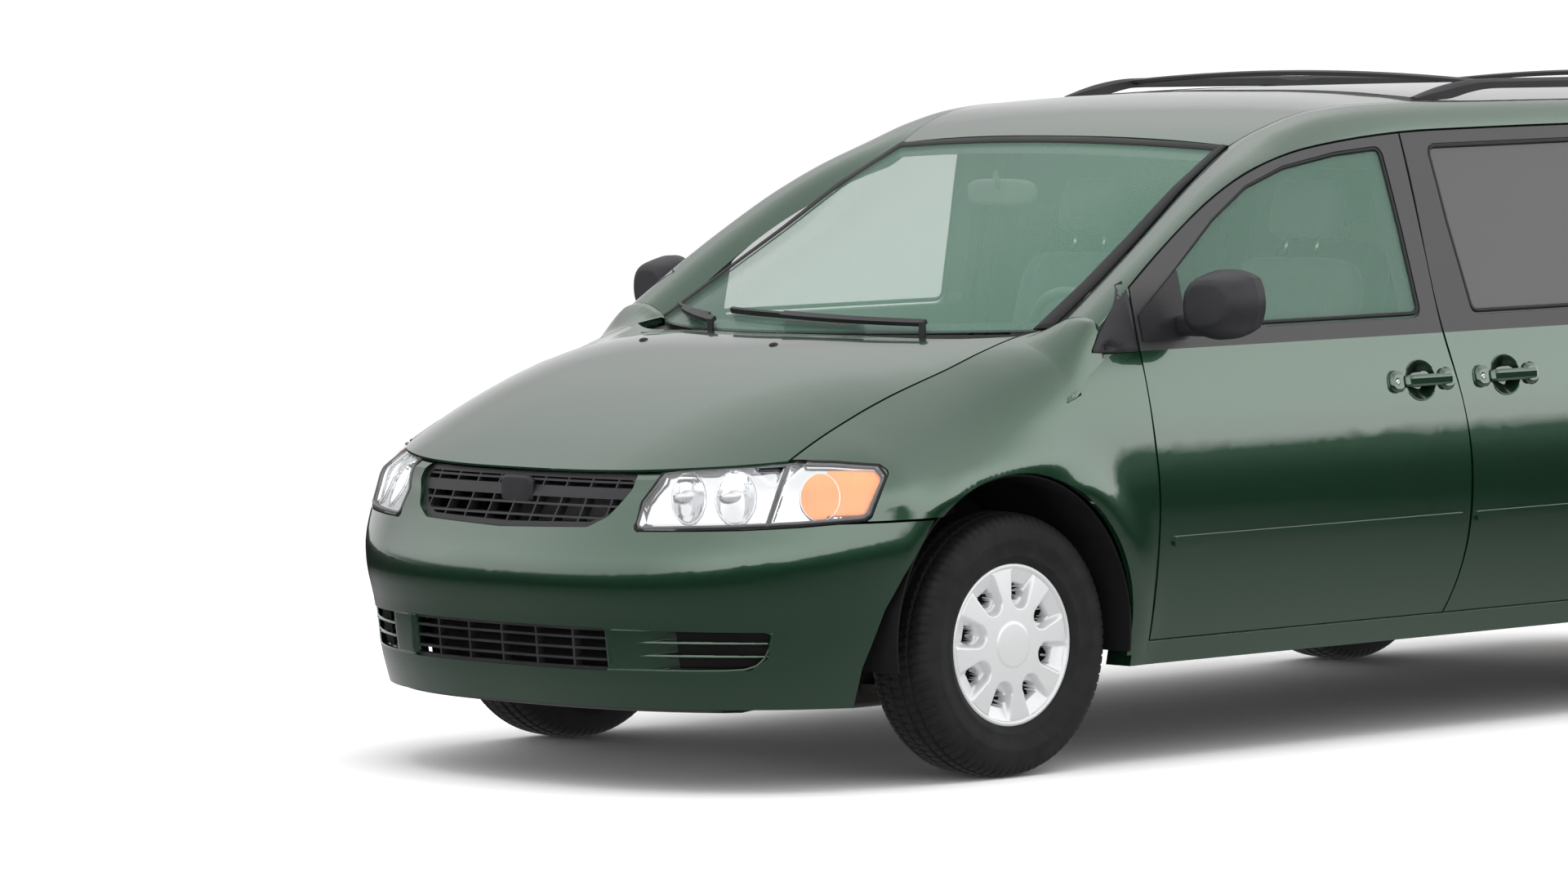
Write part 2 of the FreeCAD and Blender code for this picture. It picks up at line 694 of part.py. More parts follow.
def front_bumper():
    grid = full_front_grid()
    skin = slab(grid, inset_grid(grid, SKIN, front_inward))
    skin = skin.cut(hood_room(SHUT_GAP))
    low = BUMPER_TOP_Z - SHUT_GAP / 2
    for side in (1, -1):
        skin = skin.cut(prism(polygon([(side * 492, low), (side * 492, 1500), (side * 1100, 1500),
                                       (side * 1100, low)]), "YZ", 0, 1100))
        lamp = lamp_prism(LAMP, LAMP_GAP)
        skin = skin.cut(lamp if side == 1 else mirrored(lamp))
        fog = prism(rounded(FOG, 12), "YZ", NOSE_START, 1100)
        skin = skin.cut(fog if side == 1 else mirrored(fog))
        arch = prism(polygon([(0, 100), (500, 100), (482, 300), (440, 440), (398, 520), (300, 660), (300, 1000),
                              (0, 1000)]), "XZ", 300, 1200)
        skin = skin.cut(arch if side == 1 else mirrored(arch))
    skin = skin.cut(prism(rounded(GRILLE, 30), "YZ", NOSE_START, 1100))
    skin = skin.cut(prism(rounded(INTAKE, 16), "YZ", NOSE_START, 1100))
    return largest(skin)


def grille(outline, radius, inset, depth, bars, posts, thick_bar=None, margin=14.0):
    """A grille that fills an opening of the bumper: a rim, level bars and upright posts."""
    grid = full_front_grid()
    outer = inset_grid(grid, inset, front_inward)
    plate = slab(outer, inset_grid(grid, inset + depth, front_inward))
    plate = plate.common(prism(rounded(shrunk(outline, SEAT_GAP), radius), "YZ", NOSE_START, 1100))
    inner = prism(rounded(shrunk(outline, margin), max(4.0, radius - margin)), "YZ", NOSE_START, 1100)
    y0 = min(p[0] for p in outline)
    y1 = max(p[0] for p in outline)
    z0 = min(p[1] for p in outline)
    z1 = max(p[1] for p in outline)
    ribs = []
    for z, height in bars:
        ribs.append(Part.makeBox(900, y1 - y0, height, Vector(NOSE_START, y0, z - height / 2)))
    for y, width in posts:
        ribs.append(Part.makeBox(900, width, z1 - z0, Vector(NOSE_START, y - width / 2, z0)))
    if thick_bar:
        ribs.append(thick_bar)
    holes = inner.cut(ribs)
    return plate.cut(holes)


def shrunk(points, by):
    cx = sum(p[0] for p in points) / len(points)
    cz = sum(p[1] for p in points) / len(points)
    wide = max(p[0] for p in points) - min(p[0] for p in points)
    high = max(p[1] for p in points) - min(p[1] for p in points)
    return [(cx + (x - cx) * (1 - 2 * by / wide), cz + (z - cz) * (1 - 2 * by / high)) for x, z in points]


def upper_grille():
    bars = [(z, 5.0) for z in (658, 686, 742)]
    bars.append((716, 26.0))
    posts = [(y, 5.0) for y in span(-330, 330, 9)]
    return largest(grille(GRILLE, 30, 14, 24, bars, posts).cut(hood_room(SHUT_GAP)))


def lower_grille():
    centre = largest(grille(INTAKE, 16, 12, 22, [(z, 6.0) for z in (320, 346, 372)],
                            [(y, 6.0) for y in span(-250, 250, 5)], margin=8.0))
    pocket = largest(grille(FOG, 12, 22, 14, [(z, 7.0) for z in (328, 348, 368)], [(560, 6.0)], margin=8.0))
    return Part.makeCompound([centre, pocket, mirrored(pocket)])


def fender_left():
    grid = [column for column in front_grid()]
    skin = slab(grid, inset_grid(grid, SKIN, front_inward))
    skin = skin.common(prism(fender_outline(), "XZ", HOOD_GAP_Y + SHUT_GAP / 2, 1100))
    skin = skin.cut(arch_cut(ARCH_FORWARD, ARCH_RADIUS))
    skin = skin.cut(lamp_prism(LAMP, LAMP_GAP))
    return largest(skin)


def lamp_halves():
    """The head lamp and the corner lamp beside it, which fill one opening."""
    grid = front_grid()
    body = slab(inset_grid(grid, LAMP_INSET, front_inward), inset_grid(grid, LAMP_DEPTH, front_inward))
    body = body.common(lamp_prism(LAMP, 0.0)).cut(hood_room(SHUT_GAP))
    body = body.cut(box(-400, 640, HOOD_GAP_Y - 60, HOOD_GAP_Y, 700, 1200))
    split = polygon([(LAMP_SPLIT_TOP, 820), (600, 820), (600, 600), (LAMP_SPLIT_LOW, 600)])
    inner = prism(split, "XZ", 500, 1100)
    inner.rotate(Vector(0, 0, 0), Vector(0, 0, 1), -45)
    outer = prism(polygon([(x - 1.0, z) for x, z in
                           [(LAMP_SPLIT_TOP, 820), (LAMP_SPLIT_LOW, 600), (-600, 600), (-600, 820)]]), "XZ", 500, 1100)
    outer.rotate(Vector(0, 0, 0), Vector(0, 0, 1), -45)
    return largest(body.common(inner)), largest(body.common(outer))


def hood_depth(x, y):
    """Thickness of the hood, which thins out towards its front edge."""
    back = (nose_edge_x(y) - 24 - x) / HOOD_TAPER
    return HOOD_EDGE + (HOOD_THICKNESS - HOOD_EDGE) * min(1.0, max(0.0, back))


def hood_grids():
    """Points of the hood's upper and lower surface."""
    top = [[Vector(x, y, hood_z(x, y)) for y in span(-740, 740, 39)] for x in span(-230, 860, 46)]
    return top, [[p - Vector(0, 0, hood_depth(p.x, p.y)) for p in row] for row in top]


def hood_room(gap):
    """Everything above the hood's lower surface, lowered by a gap."""
    top, low = hood_grids()
    return slab(moved(top, Vector(0, 0, 300)), moved(low, Vector(0, 0, -gap)))


def hood():
    top, low = hood_grids()
    sheet_solid = slab(top, low)
    edge = [nose_edge(a) for a in nose_angles(14) if nose_edge(a).y < HOOD_GAP_Y - 1]
    back = SHUT_GAP / 2
    front = [(p.x - back, p.y) for p in edge]
    side = HOOD_GAP_Y - SHUT_GAP / 2
    front = [(nose_edge_x(side) - back, side)] + [p for p in front if p[1] < side - 20]
    front = front + [(x, -y) for x, y in front[:-1][::-1]]
    rear = [(70 - 259 * (y / 701.0) ** 2, y) for y in span(-side, side, 9)]
    runs = [front, [front[-1], rear[0]], rear, [rear[-1], front[0]]]
    return largest(sheet_solid.common(prism(runs, "XY", 500, 1300)))


def nose_edge_x(y):
    """How far forward the hood's front edge is at y."""
    angle = math.asin(min(1.0, (min(abs(y), HOOD_GAP_Y) / HOOD_CORNER_WIDTH) ** 1.5))
    return nose_edge(angle).x


# Windscreen and roof

SCREEN_TOP = Vector(-1012, 0, 1526)
SCREEN_BASE = Vector(44, 0, 1072)


def screen_point(up, across):
    """A point of the windscreen: up from 0 at the base to 1 at the top, across from -1 to 1."""
    x = -300 + (-1039 + 300) * up
    edge = Vector(x, ditch_y(x), ditch_z(x))
    middle = SCREEN_BASE + (SCREEN_TOP - SCREEN_BASE) * up + Vector(0, 0, 60 * up * (1 - up))
    share = across * across
    return Vector(middle.x + (edge.x - middle.x) * share, across * edge.y, middle.z + (edge.z - middle.z) * share)


def screen_grid(edge=0.985, low=0.0, high=0.995):
    return [[screen_point(up, across) for across in span(-edge, edge, 19)] for up in span(low, high, 15)]


def windshield():
    grid = screen_grid()
    return slab(grid, inset_grid(grid, GLASS + 1, lambda p: Vector(-1, 0, -2)))


def roof_z(x, y):
    edge = ditch_z(x)
    return edge + (roof_centre(x) - edge) * (1 - (abs(y) / ditch_y(x)) ** 2.3)


def roof_panel():
    rows = []
    for u in span(0, 1, 64):
        row = []
        for across in span(-1, 1, 25):
            front = screen_point(1.006, across).x
            rear = ROOF_REAR - ROOF_REAR_SWEEP * across * across
            x = front + (rear - front) * u
            y = across * (ditch_y(x) - ROOF_GAP)
            row.append(Vector(x, y, roof_z(x, y)))
        rows.append(row)
    return slab(rows, moved(rows, Vector(0, 0, -ROOF_THICKNESS)))


def cowl_edges(y):
    """The cowl's front and rear edge at y: under the hood's rear edge, and under the windscreen's foot."""
    front = 62 - 259 * (y / 701.0) ** 2
    foot = screen_point(0.02, y / 722.0)
    return Vector(front + 12, y, hood_z(front, y) - HOOD_THICKNESS - 6), Vector(foot.x - 30, y, foot.z - 22)


def cowl_panel():
    """The tray between the hood's rear edge and the foot of the windscreen."""
    rows = []
    for u in span(0, 1, 8):
        row = []
        for y in span(-696, 696, 21):
            front, rear = cowl_edges(y)
            row.append(front + (rear - front) * u)
        rows.append(row)
    return slab(rows, moved(rows, Vector(0, 0, -12)))


WIPERS = [(470.0, 300.0, -170.0), (-170.0, -240.0, -640.0)]
PIVOT_RADIUS = 9.0
PIVOT_GAP = 3.0
ARM_ROOT = 0.006
ARM_END = 0.042


def wipers():
    """Two wipers parked along the foot of the windscreen: pivot, arm and blade each."""
    pieces = []
    lift = Vector(0.5, 0, 1.0)
    for pivot_y, blade_y, tip_y in WIPERS:
        blade = []
        arm = []
        for t in span(0, 1, 8):
            y = blade_y + (tip_y - blade_y) * t
            blade.append([screen_point(0.035 + 0.028 * t + w, y / 722.0) for w in span(-0.004, 0.004, 4)])
            y = pivot_y + (0.5 * (blade_y + tip_y) - pivot_y) * t
            up = ARM_ROOT + (ARM_END - ARM_ROOT) * t
            arm.append([screen_point(up + w, y / 722.0) for w in span(-0.009, 0.009, 4)])
        pieces.append(slab(moved(blade, lift * 4), moved(blade, lift * 17)))
        pieces.append(slab(moved(arm, lift * 12), moved(arm, lift * 22)))
        x = screen_point(0, pivot_y / 722.0).x + PIVOT_RADIUS + PIVOT_GAP
        front, rear = cowl_edges(pivot_y)
        foot = front + (rear - front) * ((front.x - x) / (front.x - rear.x))
        slope = (rear.z - front.z) / (front.x - rear.x)
        bottom = foot.z + slope * PIVOT_RADIUS + 0.3
        top = screen_point(ARM_ROOT, pivot_y / 722.0).z + 20
        pieces.append(Part.makeCylinder(PIVOT_RADIUS, top - bottom, Vector(x, pivot_y, bottom)))
    return fused(pieces)


# Tail

def liftgate():
    grid = full_tail_grid(SILL_Z, drip_z(REAR_AXLE - 700), 1568)
    skin = slab(grid, inset_grid(grid, 52, tail_inward))
    skin = skin.common(liftgate_prism(0))
    skin = skin.cut(prism(rear_window(0), "YZ", REAR_END - 60, TAIL_START + 200))
    skin = skin.cut(rear_bumper_zone(SHUT_GAP / 2))
    solid = largest(skin)
    for y in (-PLATE_HOLE_SPACING / 2, PLATE_HOLE_SPACING / 2):
        solid = solid.cut(Part.makeCylinder(PLATE_HOLE_RADIUS, 120, Vector(REAR_END - 30, y, PLATE_Z),
                                            Vector(1, 0, 0)))
    return solid


PLATE_HOLE_SPACING = 178.0
PLATE_HOLE_RADIUS = 3.5
PLATE_Z = 880.0


def rear_window(shrink):
    return rounded(shrunk([(-640, 1080), (640, 1080), (585, 1470), (-585, 1470)], shrink), 50)


def liftgate_glass():
    grid = full_tail_grid(SILL_Z, drip_z(REAR_AXLE - 700), 1568)
    pane = slab(inset_grid(grid, GLASS_INSET, tail_inward), inset_grid(grid, GLASS_INSET + GLASS, tail_inward))
    return largest(pane.common(prism(rear_window(SEAT_GAP + 0.1), "YZ", REAR_END - 60, TAIL_START + 200)))


def rear_bumper():
    grid = full_tail_grid(BUMPER_BOTTOM + 16, 640.0, 640.0, ahead=480)
    shell = slab(grid, inset_grid(grid, 24, tail_inward))
    shell = shell.common(rear_bumper_zone(-SHUT_GAP / 2))
    shell = shell.cut(arch_cut(REAR_AXLE, REAR_ARCH_RADIUS))
    return largest(shell.cut(mirrored(arch_cut(REAR_AXLE, REAR_ARCH_RADIUS))))


def tail_lamp():
    grid = tail_grid(SILL_Z, drip_z(REAR_AXLE - 700), 1568)
    body = slab(inset_grid(grid, 1.0, tail_inward), inset_grid(grid, 58, tail_inward))
    return largest(body.common(tail_lamp_prism(0)))


# Things on the outside

MIRROR_X = -590.0
MIRROR_Y = 1030.0
MIRROR_Z = 1132.0
MIRROR_HALF_WIDTH = 96.0
MIRROR_HALF_HEIGHT = 86.0
MIRROR_DOME = 78.0
MIRROR_RIM = 26.0
MIRROR_PLATE = [(-440, 1044), (-600, 1044), (-600, 1216), (-440, 1108)]

RAIL_FRONT = -1690.0
RAIL_REAR = REAR_AXLE - 560.0
RAIL_INSET = 20.0
RAIL_SEAT = 1.5
rail_underside = guide([(0, RAIL_SEAT), (0.06, RAIL_SEAT), (0.11, 18), (0.16, 28), (0.46, 28), (0.49, RAIL_SEAT),
                        (0.51, RAIL_SEAT), (0.54, 28), (0.84, 28), (0.89, 18), (0.94, RAIL_SEAT), (1, RAIL_SEAT)])
rail_top = guide([(0, 9), (0.03, 24), (0.08, 42), (0.14, 52), (0.5, 54), (0.86, 52), (0.92, 42), (0.97, 24), (1, 9)])
rail_width = guide([(0, 20), (0.05, 34), (0.12, 28), (0.88, 28), (0.95, 34), (1, 20)])
CROSS_BARS = [RAIL_FRONT - 260.0, RAIL_REAR + 300.0]
BAR_WIDTH = 34.0
BAR_HEIGHT = 16.0


def mirror_left():
    """Mirror housing with a domed front, its arm, and the plate on the door's corner that carries it."""
    front = []
    rear = []
    for u in span(-1, 1, 13):
        line = []
        back = []
        for v in span(-1, 1, 13):
            y = MIRROR_Y + MIRROR_HALF_WIDTH * u * math.sqrt(1 - 0.36 * v * v)
            z = MIRROR_Z + (MIRROR_HALF_HEIGHT - 6 * u) * v * math.sqrt(1 - 0.42 * u * u) + 5 * u
            x = MIRROR_X - 14 * u
            dome = (1 - u * u) ** 0.5 * (1 - v * v) ** 0.5
            line.append(Vector(x + MIRROR_DOME * min(1.0, 1.5 * dome), y, z))
            back.append(Vector(x - MIRROR_RIM - 6 * dome, y, z))
        front.append(line)
        rear.append(back)
    arm = box(-606, -560, side_y(-580, 1080) - 1, MIRROR_Y - 40, 1052, 1104, 14)
    face = side_grid(-400, -660, low=1000.0)
    plate = slab(moved(face, Vector(0, 5, 0)), moved(face, Vector(0, SEAT_GAP, 0)))
    plate = plate.common(side_prism(rounded(MIRROR_PLATE, 5)))
    arm = arm.cut(slab(moved(face, Vector(0, 2, 0)), moved(face, Vector(0, -60, 0))))
    return fused([slab(front, rear), arm, plate])


def roof_rack():
    """Two side rails, each in one with its cast feet, and two bars across."""
    top = []
    low = []
    for share in span(0, 1, 49):
        x = RAIL_FRONT + (RAIL_REAR - RAIL_FRONT) * share
        middle = ditch_y(x) - RAIL_INSET
        half = rail_width(share) / 2
        crest = []
        foot = []
        for t in span(-1, 1, 7):
            y = middle + half * t
            base = roof_z(x, y)
            crest.append(Vector(x, y, base + rail_top(share) - 0.3 * (rail_top(share) - rail_underside(share)) * t * t))
            foot.append(Vector(x, y, base + rail_underside(share)))
        top.append(crest)
        low.append(foot)
    rail = slab(top, low)
    pieces = [rail, mirrored(rail)]
    for x in CROSS_BARS:
        reach = ditch_y(x) - RAIL_INSET
        crest = []
        foot = []
        for y in span(-reach, reach, 15):
            end = roof_z(x, reach) + 42
            z = end + (roof_z(x, 0) + 34 - end) * (1 - (y / reach) ** 2)
            crest.append([Vector(x + BAR_WIDTH / 2 * t, y, z + BAR_HEIGHT / 2 - 5 * t * t) for t in span(-1, 1, 5)])
            foot.append([Vector(x + BAR_WIDTH / 2 * t, y, z - BAR_HEIGHT / 2 + 3 * t * t) for t in span(-1, 1, 5)])
        pieces.append(slab(crest, foot))
    return fused(pieces)


# Inside and below

def floor_pan():
    t = FLOOR_THICKNESS
    z = FLOOR_Z
    back = REAR_END + 130
    step = FLOOR_STEP_X
    plate = prism(polygon([(FIREWALL_X, z), (FIREWALL_X, 740), (-60, 985), (-60, 985 + t), (FIREWALL_X - t, 760),
                           (FIREWALL_X - t, z + t), (step, z + t), (step, REAR_FLOOR_Z + t), (back, REAR_FLOOR_Z + t),
                           (back, REAR_FLOOR_Z), (step - t, REAR_FLOOR_Z), (step - t, z)]),
                  "XZ", -FLOOR_HALF_WIDTH, FLOOR_HALF_WIDTH)
    gap = REAR_ARCH_RADIUS + 8
    corner = prism(polygon([(back + 75, 806), (back - 5, 742), (back - 5, 900), (back + 75, 900)]), "XY", 0, 800)
    arch = box(REAR_AXLE - gap, REAR_AXLE + gap, LINER_INNER_Y, 1000, 0, 800)
    bay = box(FIREWALL_X + 5, 300, FRONT_LINER_INNER_Y - 8, 1000, 0, 1200)
    for cut in (corner, arch, bay):
        plate = plate.cut([cut, mirrored(cut)])
    return plate


def liner(x, radius, y0, y1, slot):
    """A wheelhouse: a half round roof over the wheel and a wall on its inner side, with a slot in it."""
    outer = radius - LINER_CLEARANCE
    ring = bar_along_y(x, ARCH_Z, outer, y0, y1)
    ring = ring.cut(bar_along_y(x, ARCH_Z, outer - LINER, y0 + LINER, y1 + 50))
    ring = ring.common(box(x - 600, x + 600, 0, 1200, ARCH_Z - 60, 1200))
    return largest(ring.cut(slot))


def dashboard():
    """Dash panel under the windscreen, centre console and steering column."""
    under = FIREWALL_X - FLOOR_THICKNESS - 1
    body = prism(polygon([(0, 1026), (-330, 1032), (-560, 1010), (-650, 950), (-640, 860), (-590, 800), (-560, 700),
                          (under, 690), (under, 763), (-62, 1013), (0, 1013)]), "XZ", -640, 640)
    rear = [(screen_point(0.02, y / 722.0).x - 42, y) for y in span(-690, 690, 9)]
    body = body.common(prism([rear, [rear[-1], (-900, 690)], [(-900, 690), (-900, -690)], [(-900, -690), rear[0]]],
                             "XY", 500, 1300))
    console = box(-640, FIREWALL_X - 30, -130, 130, FLOOR_Z + FLOOR_THICKNESS + SEAT_GAP, 720, 12)
    return fused([largest(body), console, rod((-560, SEATS_Y - 20, 880), (-745, SEATS_Y - 20, 965), 26)])


WHEEL_CENTRE = Vector(-770, SEATS_Y - 20, 977)
COLUMN_TILT = 65.0


def steering_wheel():
    rim = Part.makeTorus(185, 14)
    hub = Part.makeCylinder(52, 34, Vector(0, 0, -22))
    spokes = [box(-188, 188, -22, 22, -12, 6, 5), box(-20, 20, -188, 0, -12, 6, 5)]
    wheel = fused([rim, hub] + spokes)
    wheel.rotate(Vector(0, 0, 0), Vector(0, 0, 1), 90)
    wheel.rotate(Vector(0, 0, 0), Vector(0, 1, 0), -COLUMN_TILT)
    wheel.translate(WHEEL_CENTRE)
    return wheel


def seat(x, y0, y1, floor_z=FLOOR_Z, back_height=660.0):
    """A seat: cushion, raked back, head rest and the pedestal that it stands on."""
    floor = floor_z + FLOOR_THICKNESS + SEAT_GAP
    cushion = box(x - 500, x, y0, y1, 560, 690, 40)
    back = box(-110, 0, y0 + 6, y1 - 6, 0, back_height, 40)
    back.rotate(Vector(0, 0, 0), Vector(0, 1, 0), -16)
    back.translate(Vector(x - 400, 0, 610))
    pieces = [cushion, back, box(x - 430, x - 60, y0 + 50, y1 - 50, floor, 600)]
    count = max(1, round((y1 - y0) / 520.0))
    width = (y1 - y0) / count
    for i in range(count):
        middle = y0 + width * (i + 0.5)
        rest = box(-88, -4, middle - 135, middle + 135, back_height + 10, back_height + 190, 34)
        post = box(-60, -36, middle - 60, middle + 60, back_height - 60, back_height + 60)
        for piece in (rest, post):
            piece.rotate(Vector(0, 0, 0), Vector(0, 1, 0), -16)
            piece.translate(Vector(x - 400, 0, 610))
            pieces.append(piece)
    return fused(pieces)


# Running gear

def tyre(y):
    half = TYRE_WIDTH / 2
    r = TYRE_RADIUS
    bead = RIM_RADIUS + 0.1
    points = [(bead, -half + 22), (bead + 16, -half + 10), (bead + 60, -half), (r - 46, -half + 4), (r - 10, -half + 22),
              (r - 2, -half + 46), (r, -14), (r, 14), (r - 2, half - 46), (r - 10, half - 22), (r - 46, half - 4),
              (bead + 60, half), (bead + 16, half - 10), (bead, half - 22)]
    edges = []
    side = Part.BSplineCurve()
    side.interpolate([Vector(0, b, a) for a, b in points])
    edges.append(side.toShape())
    edges.append(Part.LineSegment(Vector(0, points[-1][1], bead), Vector(0, points[0][1], bead)).toShape())
    face = Part.Face(Part.Wire(edges))
    solid = face.revolve(Vector(0, 0, 0), Vector(0, 1, 0), 360)
    grooves = []
    for at in (-54, -19, 19, 54):
        ring = Part.makeCylinder(r + 5, 9, Vector(0, at - 4.5, 0), Vector(0, 1, 0))
        grooves.append(ring.cut(Part.makeCylinder(r - 8, 9, Vector(0, at - 4.5, 0), Vector(0, 1, 0))))
    solid = solid.cut(grooves)
    solid.translate(Vector(0, y, 0))
    return largest(solid)


def wheel(y):
    """Rim barrel, hub and the domed cover with its row of openings; the outer side faces +Y."""
    half = RIM_WIDTH / 2
    barrel = Part.makeCylinder(RIM_RADIUS, RIM_WIDTH, Vector(0, -half, 0), Vector(0, 1, 0))
    barrel = barrel.cut(Part.makeCylinder(RIM_RADIUS - BARREL_WALL, RIM_WIDTH, Vector(0, -half, 0), Vector(0, 1, 0)))
    face_y = half - 26
    profile = [(0, face_y + 16), (54, face_y + 14), (62, face_y + 4), (110, face_y + 16), (160, face_y + 14),
               (RIM_RADIUS - 4, face_y + 2), (RIM_RADIUS - 4, face_y - 8), (150, face_y + 2), (60, face_y - 8),
               (0, face_y - 8)]
    edges = [Part.LineSegment(Vector(0, b, a), Vector(0, d, c)).toShape()
             for (a, b), (c, d) in zip(profile, profile[1:] + profile[:1])]
    disc = Part.Face(Part.Wire(edges)).revolve(Vector(0, 0, 0), Vector(0, 1, 0), 360)
    for i in range(COVER_WINDOWS):
        a = 2 * math.pi * i / COVER_WINDOWS
        hole = Part.makeCylinder(COVER_WINDOW_RADIUS, 90, Vector(COVER_WINDOW_PITCH * math.cos(a), face_y - 40,
                                 COVER_WINDOW_PITCH * math.sin(a)), Vector(0, 1, 0))
        disc = disc.cut(hole)
    hub = Part.makeCylinder(HUB_RADIUS, face_y, Vector(0, 0, 0), Vector(0, 1, 0))
    solid = fused([barrel, disc, hub])
    solid = solid.cut(Part.makeCylinder(STUB_RADIUS + STUB_CLEARANCE, 45, Vector(0, -1, 0), Vector(0, 1, 0)))
    solid.translate(Vector(0, y, 0))
    return largest(solid)


BRAKE_RADIUS = 105.0
LEG_Y = 500.0
LEG_TOP = 862.0
LEG_RADIUS = 24.0
SPRING_RADIUS = 50.0
RAIL_INNER_Y = 380.0
RAIL_OUTER_Y = 425.0
RAIL_LOW = 380.0
TOWER_OUTER_Y = 562.0
TOWER_HALF_LENGTH = 110.0


def knuckle_left():
    """Steering knuckle: stub shaft, upright between the two ball joints, and the brake disc's backing."""
    centre = FRONT_TRACK / 2
    pin_y = centre - KINGPIN_INSET
    z = TYRE_RADIUS
    stub = bar_along_y(0, z, STUB_RADIUS, pin_y, centre + 42)
    disc = bar_along_y(0, z, BRAKE_RADIUS, pin_y + 22, pin_y + 40)
    upright = box(-30, 30, pin_y - 20, pin_y + 24, z - 112, z + 112, 8)
    arm = box(-120, 0, pin_y - 18, pin_y + 10, z - 40, z - 12, 6)
    return fused([stub, disc, upright, arm])


def front_suspension():
    """Subframe, lower and upper arms and the spring legs of both front wheels."""
    pin_y = FRONT_TRACK / 2 - KINGPIN_INSET
    z = TYRE_RADIUS
    lower = z - 112 - SEAT_GAP
    upper = z + 112 + SEAT_GAP
    arm_low = prism([[(20, pin_y + 18), (-20, pin_y + 18)], [(-20, pin_y + 18), (-150, 380)],
                     [(-150, 380), (110, 380)], [(110, 380), (20, pin_y + 18)]], "XY", lower - 22, lower)
    arm_high = prism([[(18, pin_y + 14), (-18, pin_y + 14)], [(-18, pin_y + 14), (-36, LEG_Y)],
                      [(-36, LEG_Y), (36, LEG_Y)], [(36, LEG_Y), (18, pin_y + 14)]], "XY", upper, upper + 18)
    half = [rod((0, LEG_Y, lower - 12), (0, LEG_Y, LEG_TOP), LEG_RADIUS),
            rod((0, LEG_Y, 520), (0, LEG_Y, LEG_TOP - 14), SPRING_RADIUS), arm_low, arm_high]
    for x in (-150, 105):
        half.append(box(x - 22, x + 22, RAIL_INNER_Y + 4, RAIL_OUTER_Y, lower, RAIL_LOW - SEAT_GAP))
    leg = fused(half)
    cross = box(-175, 130, -RAIL_OUTER_Y - 6, RAIL_OUTER_Y + 6, lower - 60, lower + 40, 14)
    return fused([leg, mirrored(leg), cross])


def rear_axle():
    z = TYRE_RADIUS
    centre = REAR_TRACK / 2
    beam = bar_along_y(REAR_AXLE, z, 36, -centre + 60, centre - 60)
    stubs = bar_along_y(REAR_AXLE, z, STUB_RADIUS, -centre - 42, centre + 42)
    pieces = [beam, stubs]
    for side in (1, -1):
        y = side * (centre - 60)
        pieces.append(bar_along_y(REAR_AXLE, z, 118, min(y, y + side * 44), max(y, y + side * 44)))
        inner = side * 480
        pieces.append(box(REAR_AXLE - 20, REAR_AXLE + 500, inner - 25, inner + 25, z - 30, z + 5.7, 5))
    return fused(pieces)


def front_structure():
    """Radiator support, side rails and the strut towers that the hood and engine rest on."""
    half = [box(FIREWALL_X + 1, 700, RAIL_INNER_Y, RAIL_OUTER_Y, RAIL_LOW, RAIL_LOW + 90, 8),
            box(620, 690, RAIL_INNER_Y - 20, 480, 310, 735, 8),
            box(580, 640, RAIL_INNER_Y, 470, 660, 735, 8)]
    tower = box(-TOWER_HALF_LENGTH, TOWER_HALF_LENGTH, RAIL_OUTER_Y - 6, TOWER_OUTER_Y, RAIL_LOW + 82, LEG_TOP + 38, 10)
    half.append(tower.cut(rod((0, LEG_Y, 400), (0, LEG_Y, LEG_TOP + SEAT_GAP), SPRING_RADIUS + 4)))
    for x, y in ((600, RAIL_OUTER_Y), (-60, TOWER_OUTER_Y - 20)):
        post = Part.makeCylinder(12, 500, Vector(x, y, 600), Vector(0, 0, 1))
        half.append(post.cut(hood_room(SEAT_GAP)))
    half = fused(half)
    bars = [box(620, 690, -560, 560, 300, 360, 8), box(620, 660, -480, 480, 690, 738, 8)]
    return fused([half, mirrored(half)] + bars)


def engine_block():
    block = box(90, 560, -330, 330, 330, 820, 30)
    return block


def fuel_tank():
    return box(-2350, -1500, -420, 420, 190, FLOOR_Z - SEAT_GAP, 30)


def exhaust():
    radius = 26.0
    route = [(60, -200, 304), (-700, -300, 262), (-1400, -500, 240), (-2500, -500, 240), (-3250, -420, 262)]
    pipe = [rod(p, q, radius) for p, q in zip(route, route[1:])]
    pipe += [Part.makeSphere(radius, Vector(*p)) for p in route[1:-1]]
    muffler = box(-3800, -3240, -560, -300, 190, REAR_FLOOR_Z - SEAT_GAP, 40)
    tip = rod((-3780, -480, 232), (REAR_END + 40, -520, 198), radius - 2)
    return fused(pipe + [muffler, tip])


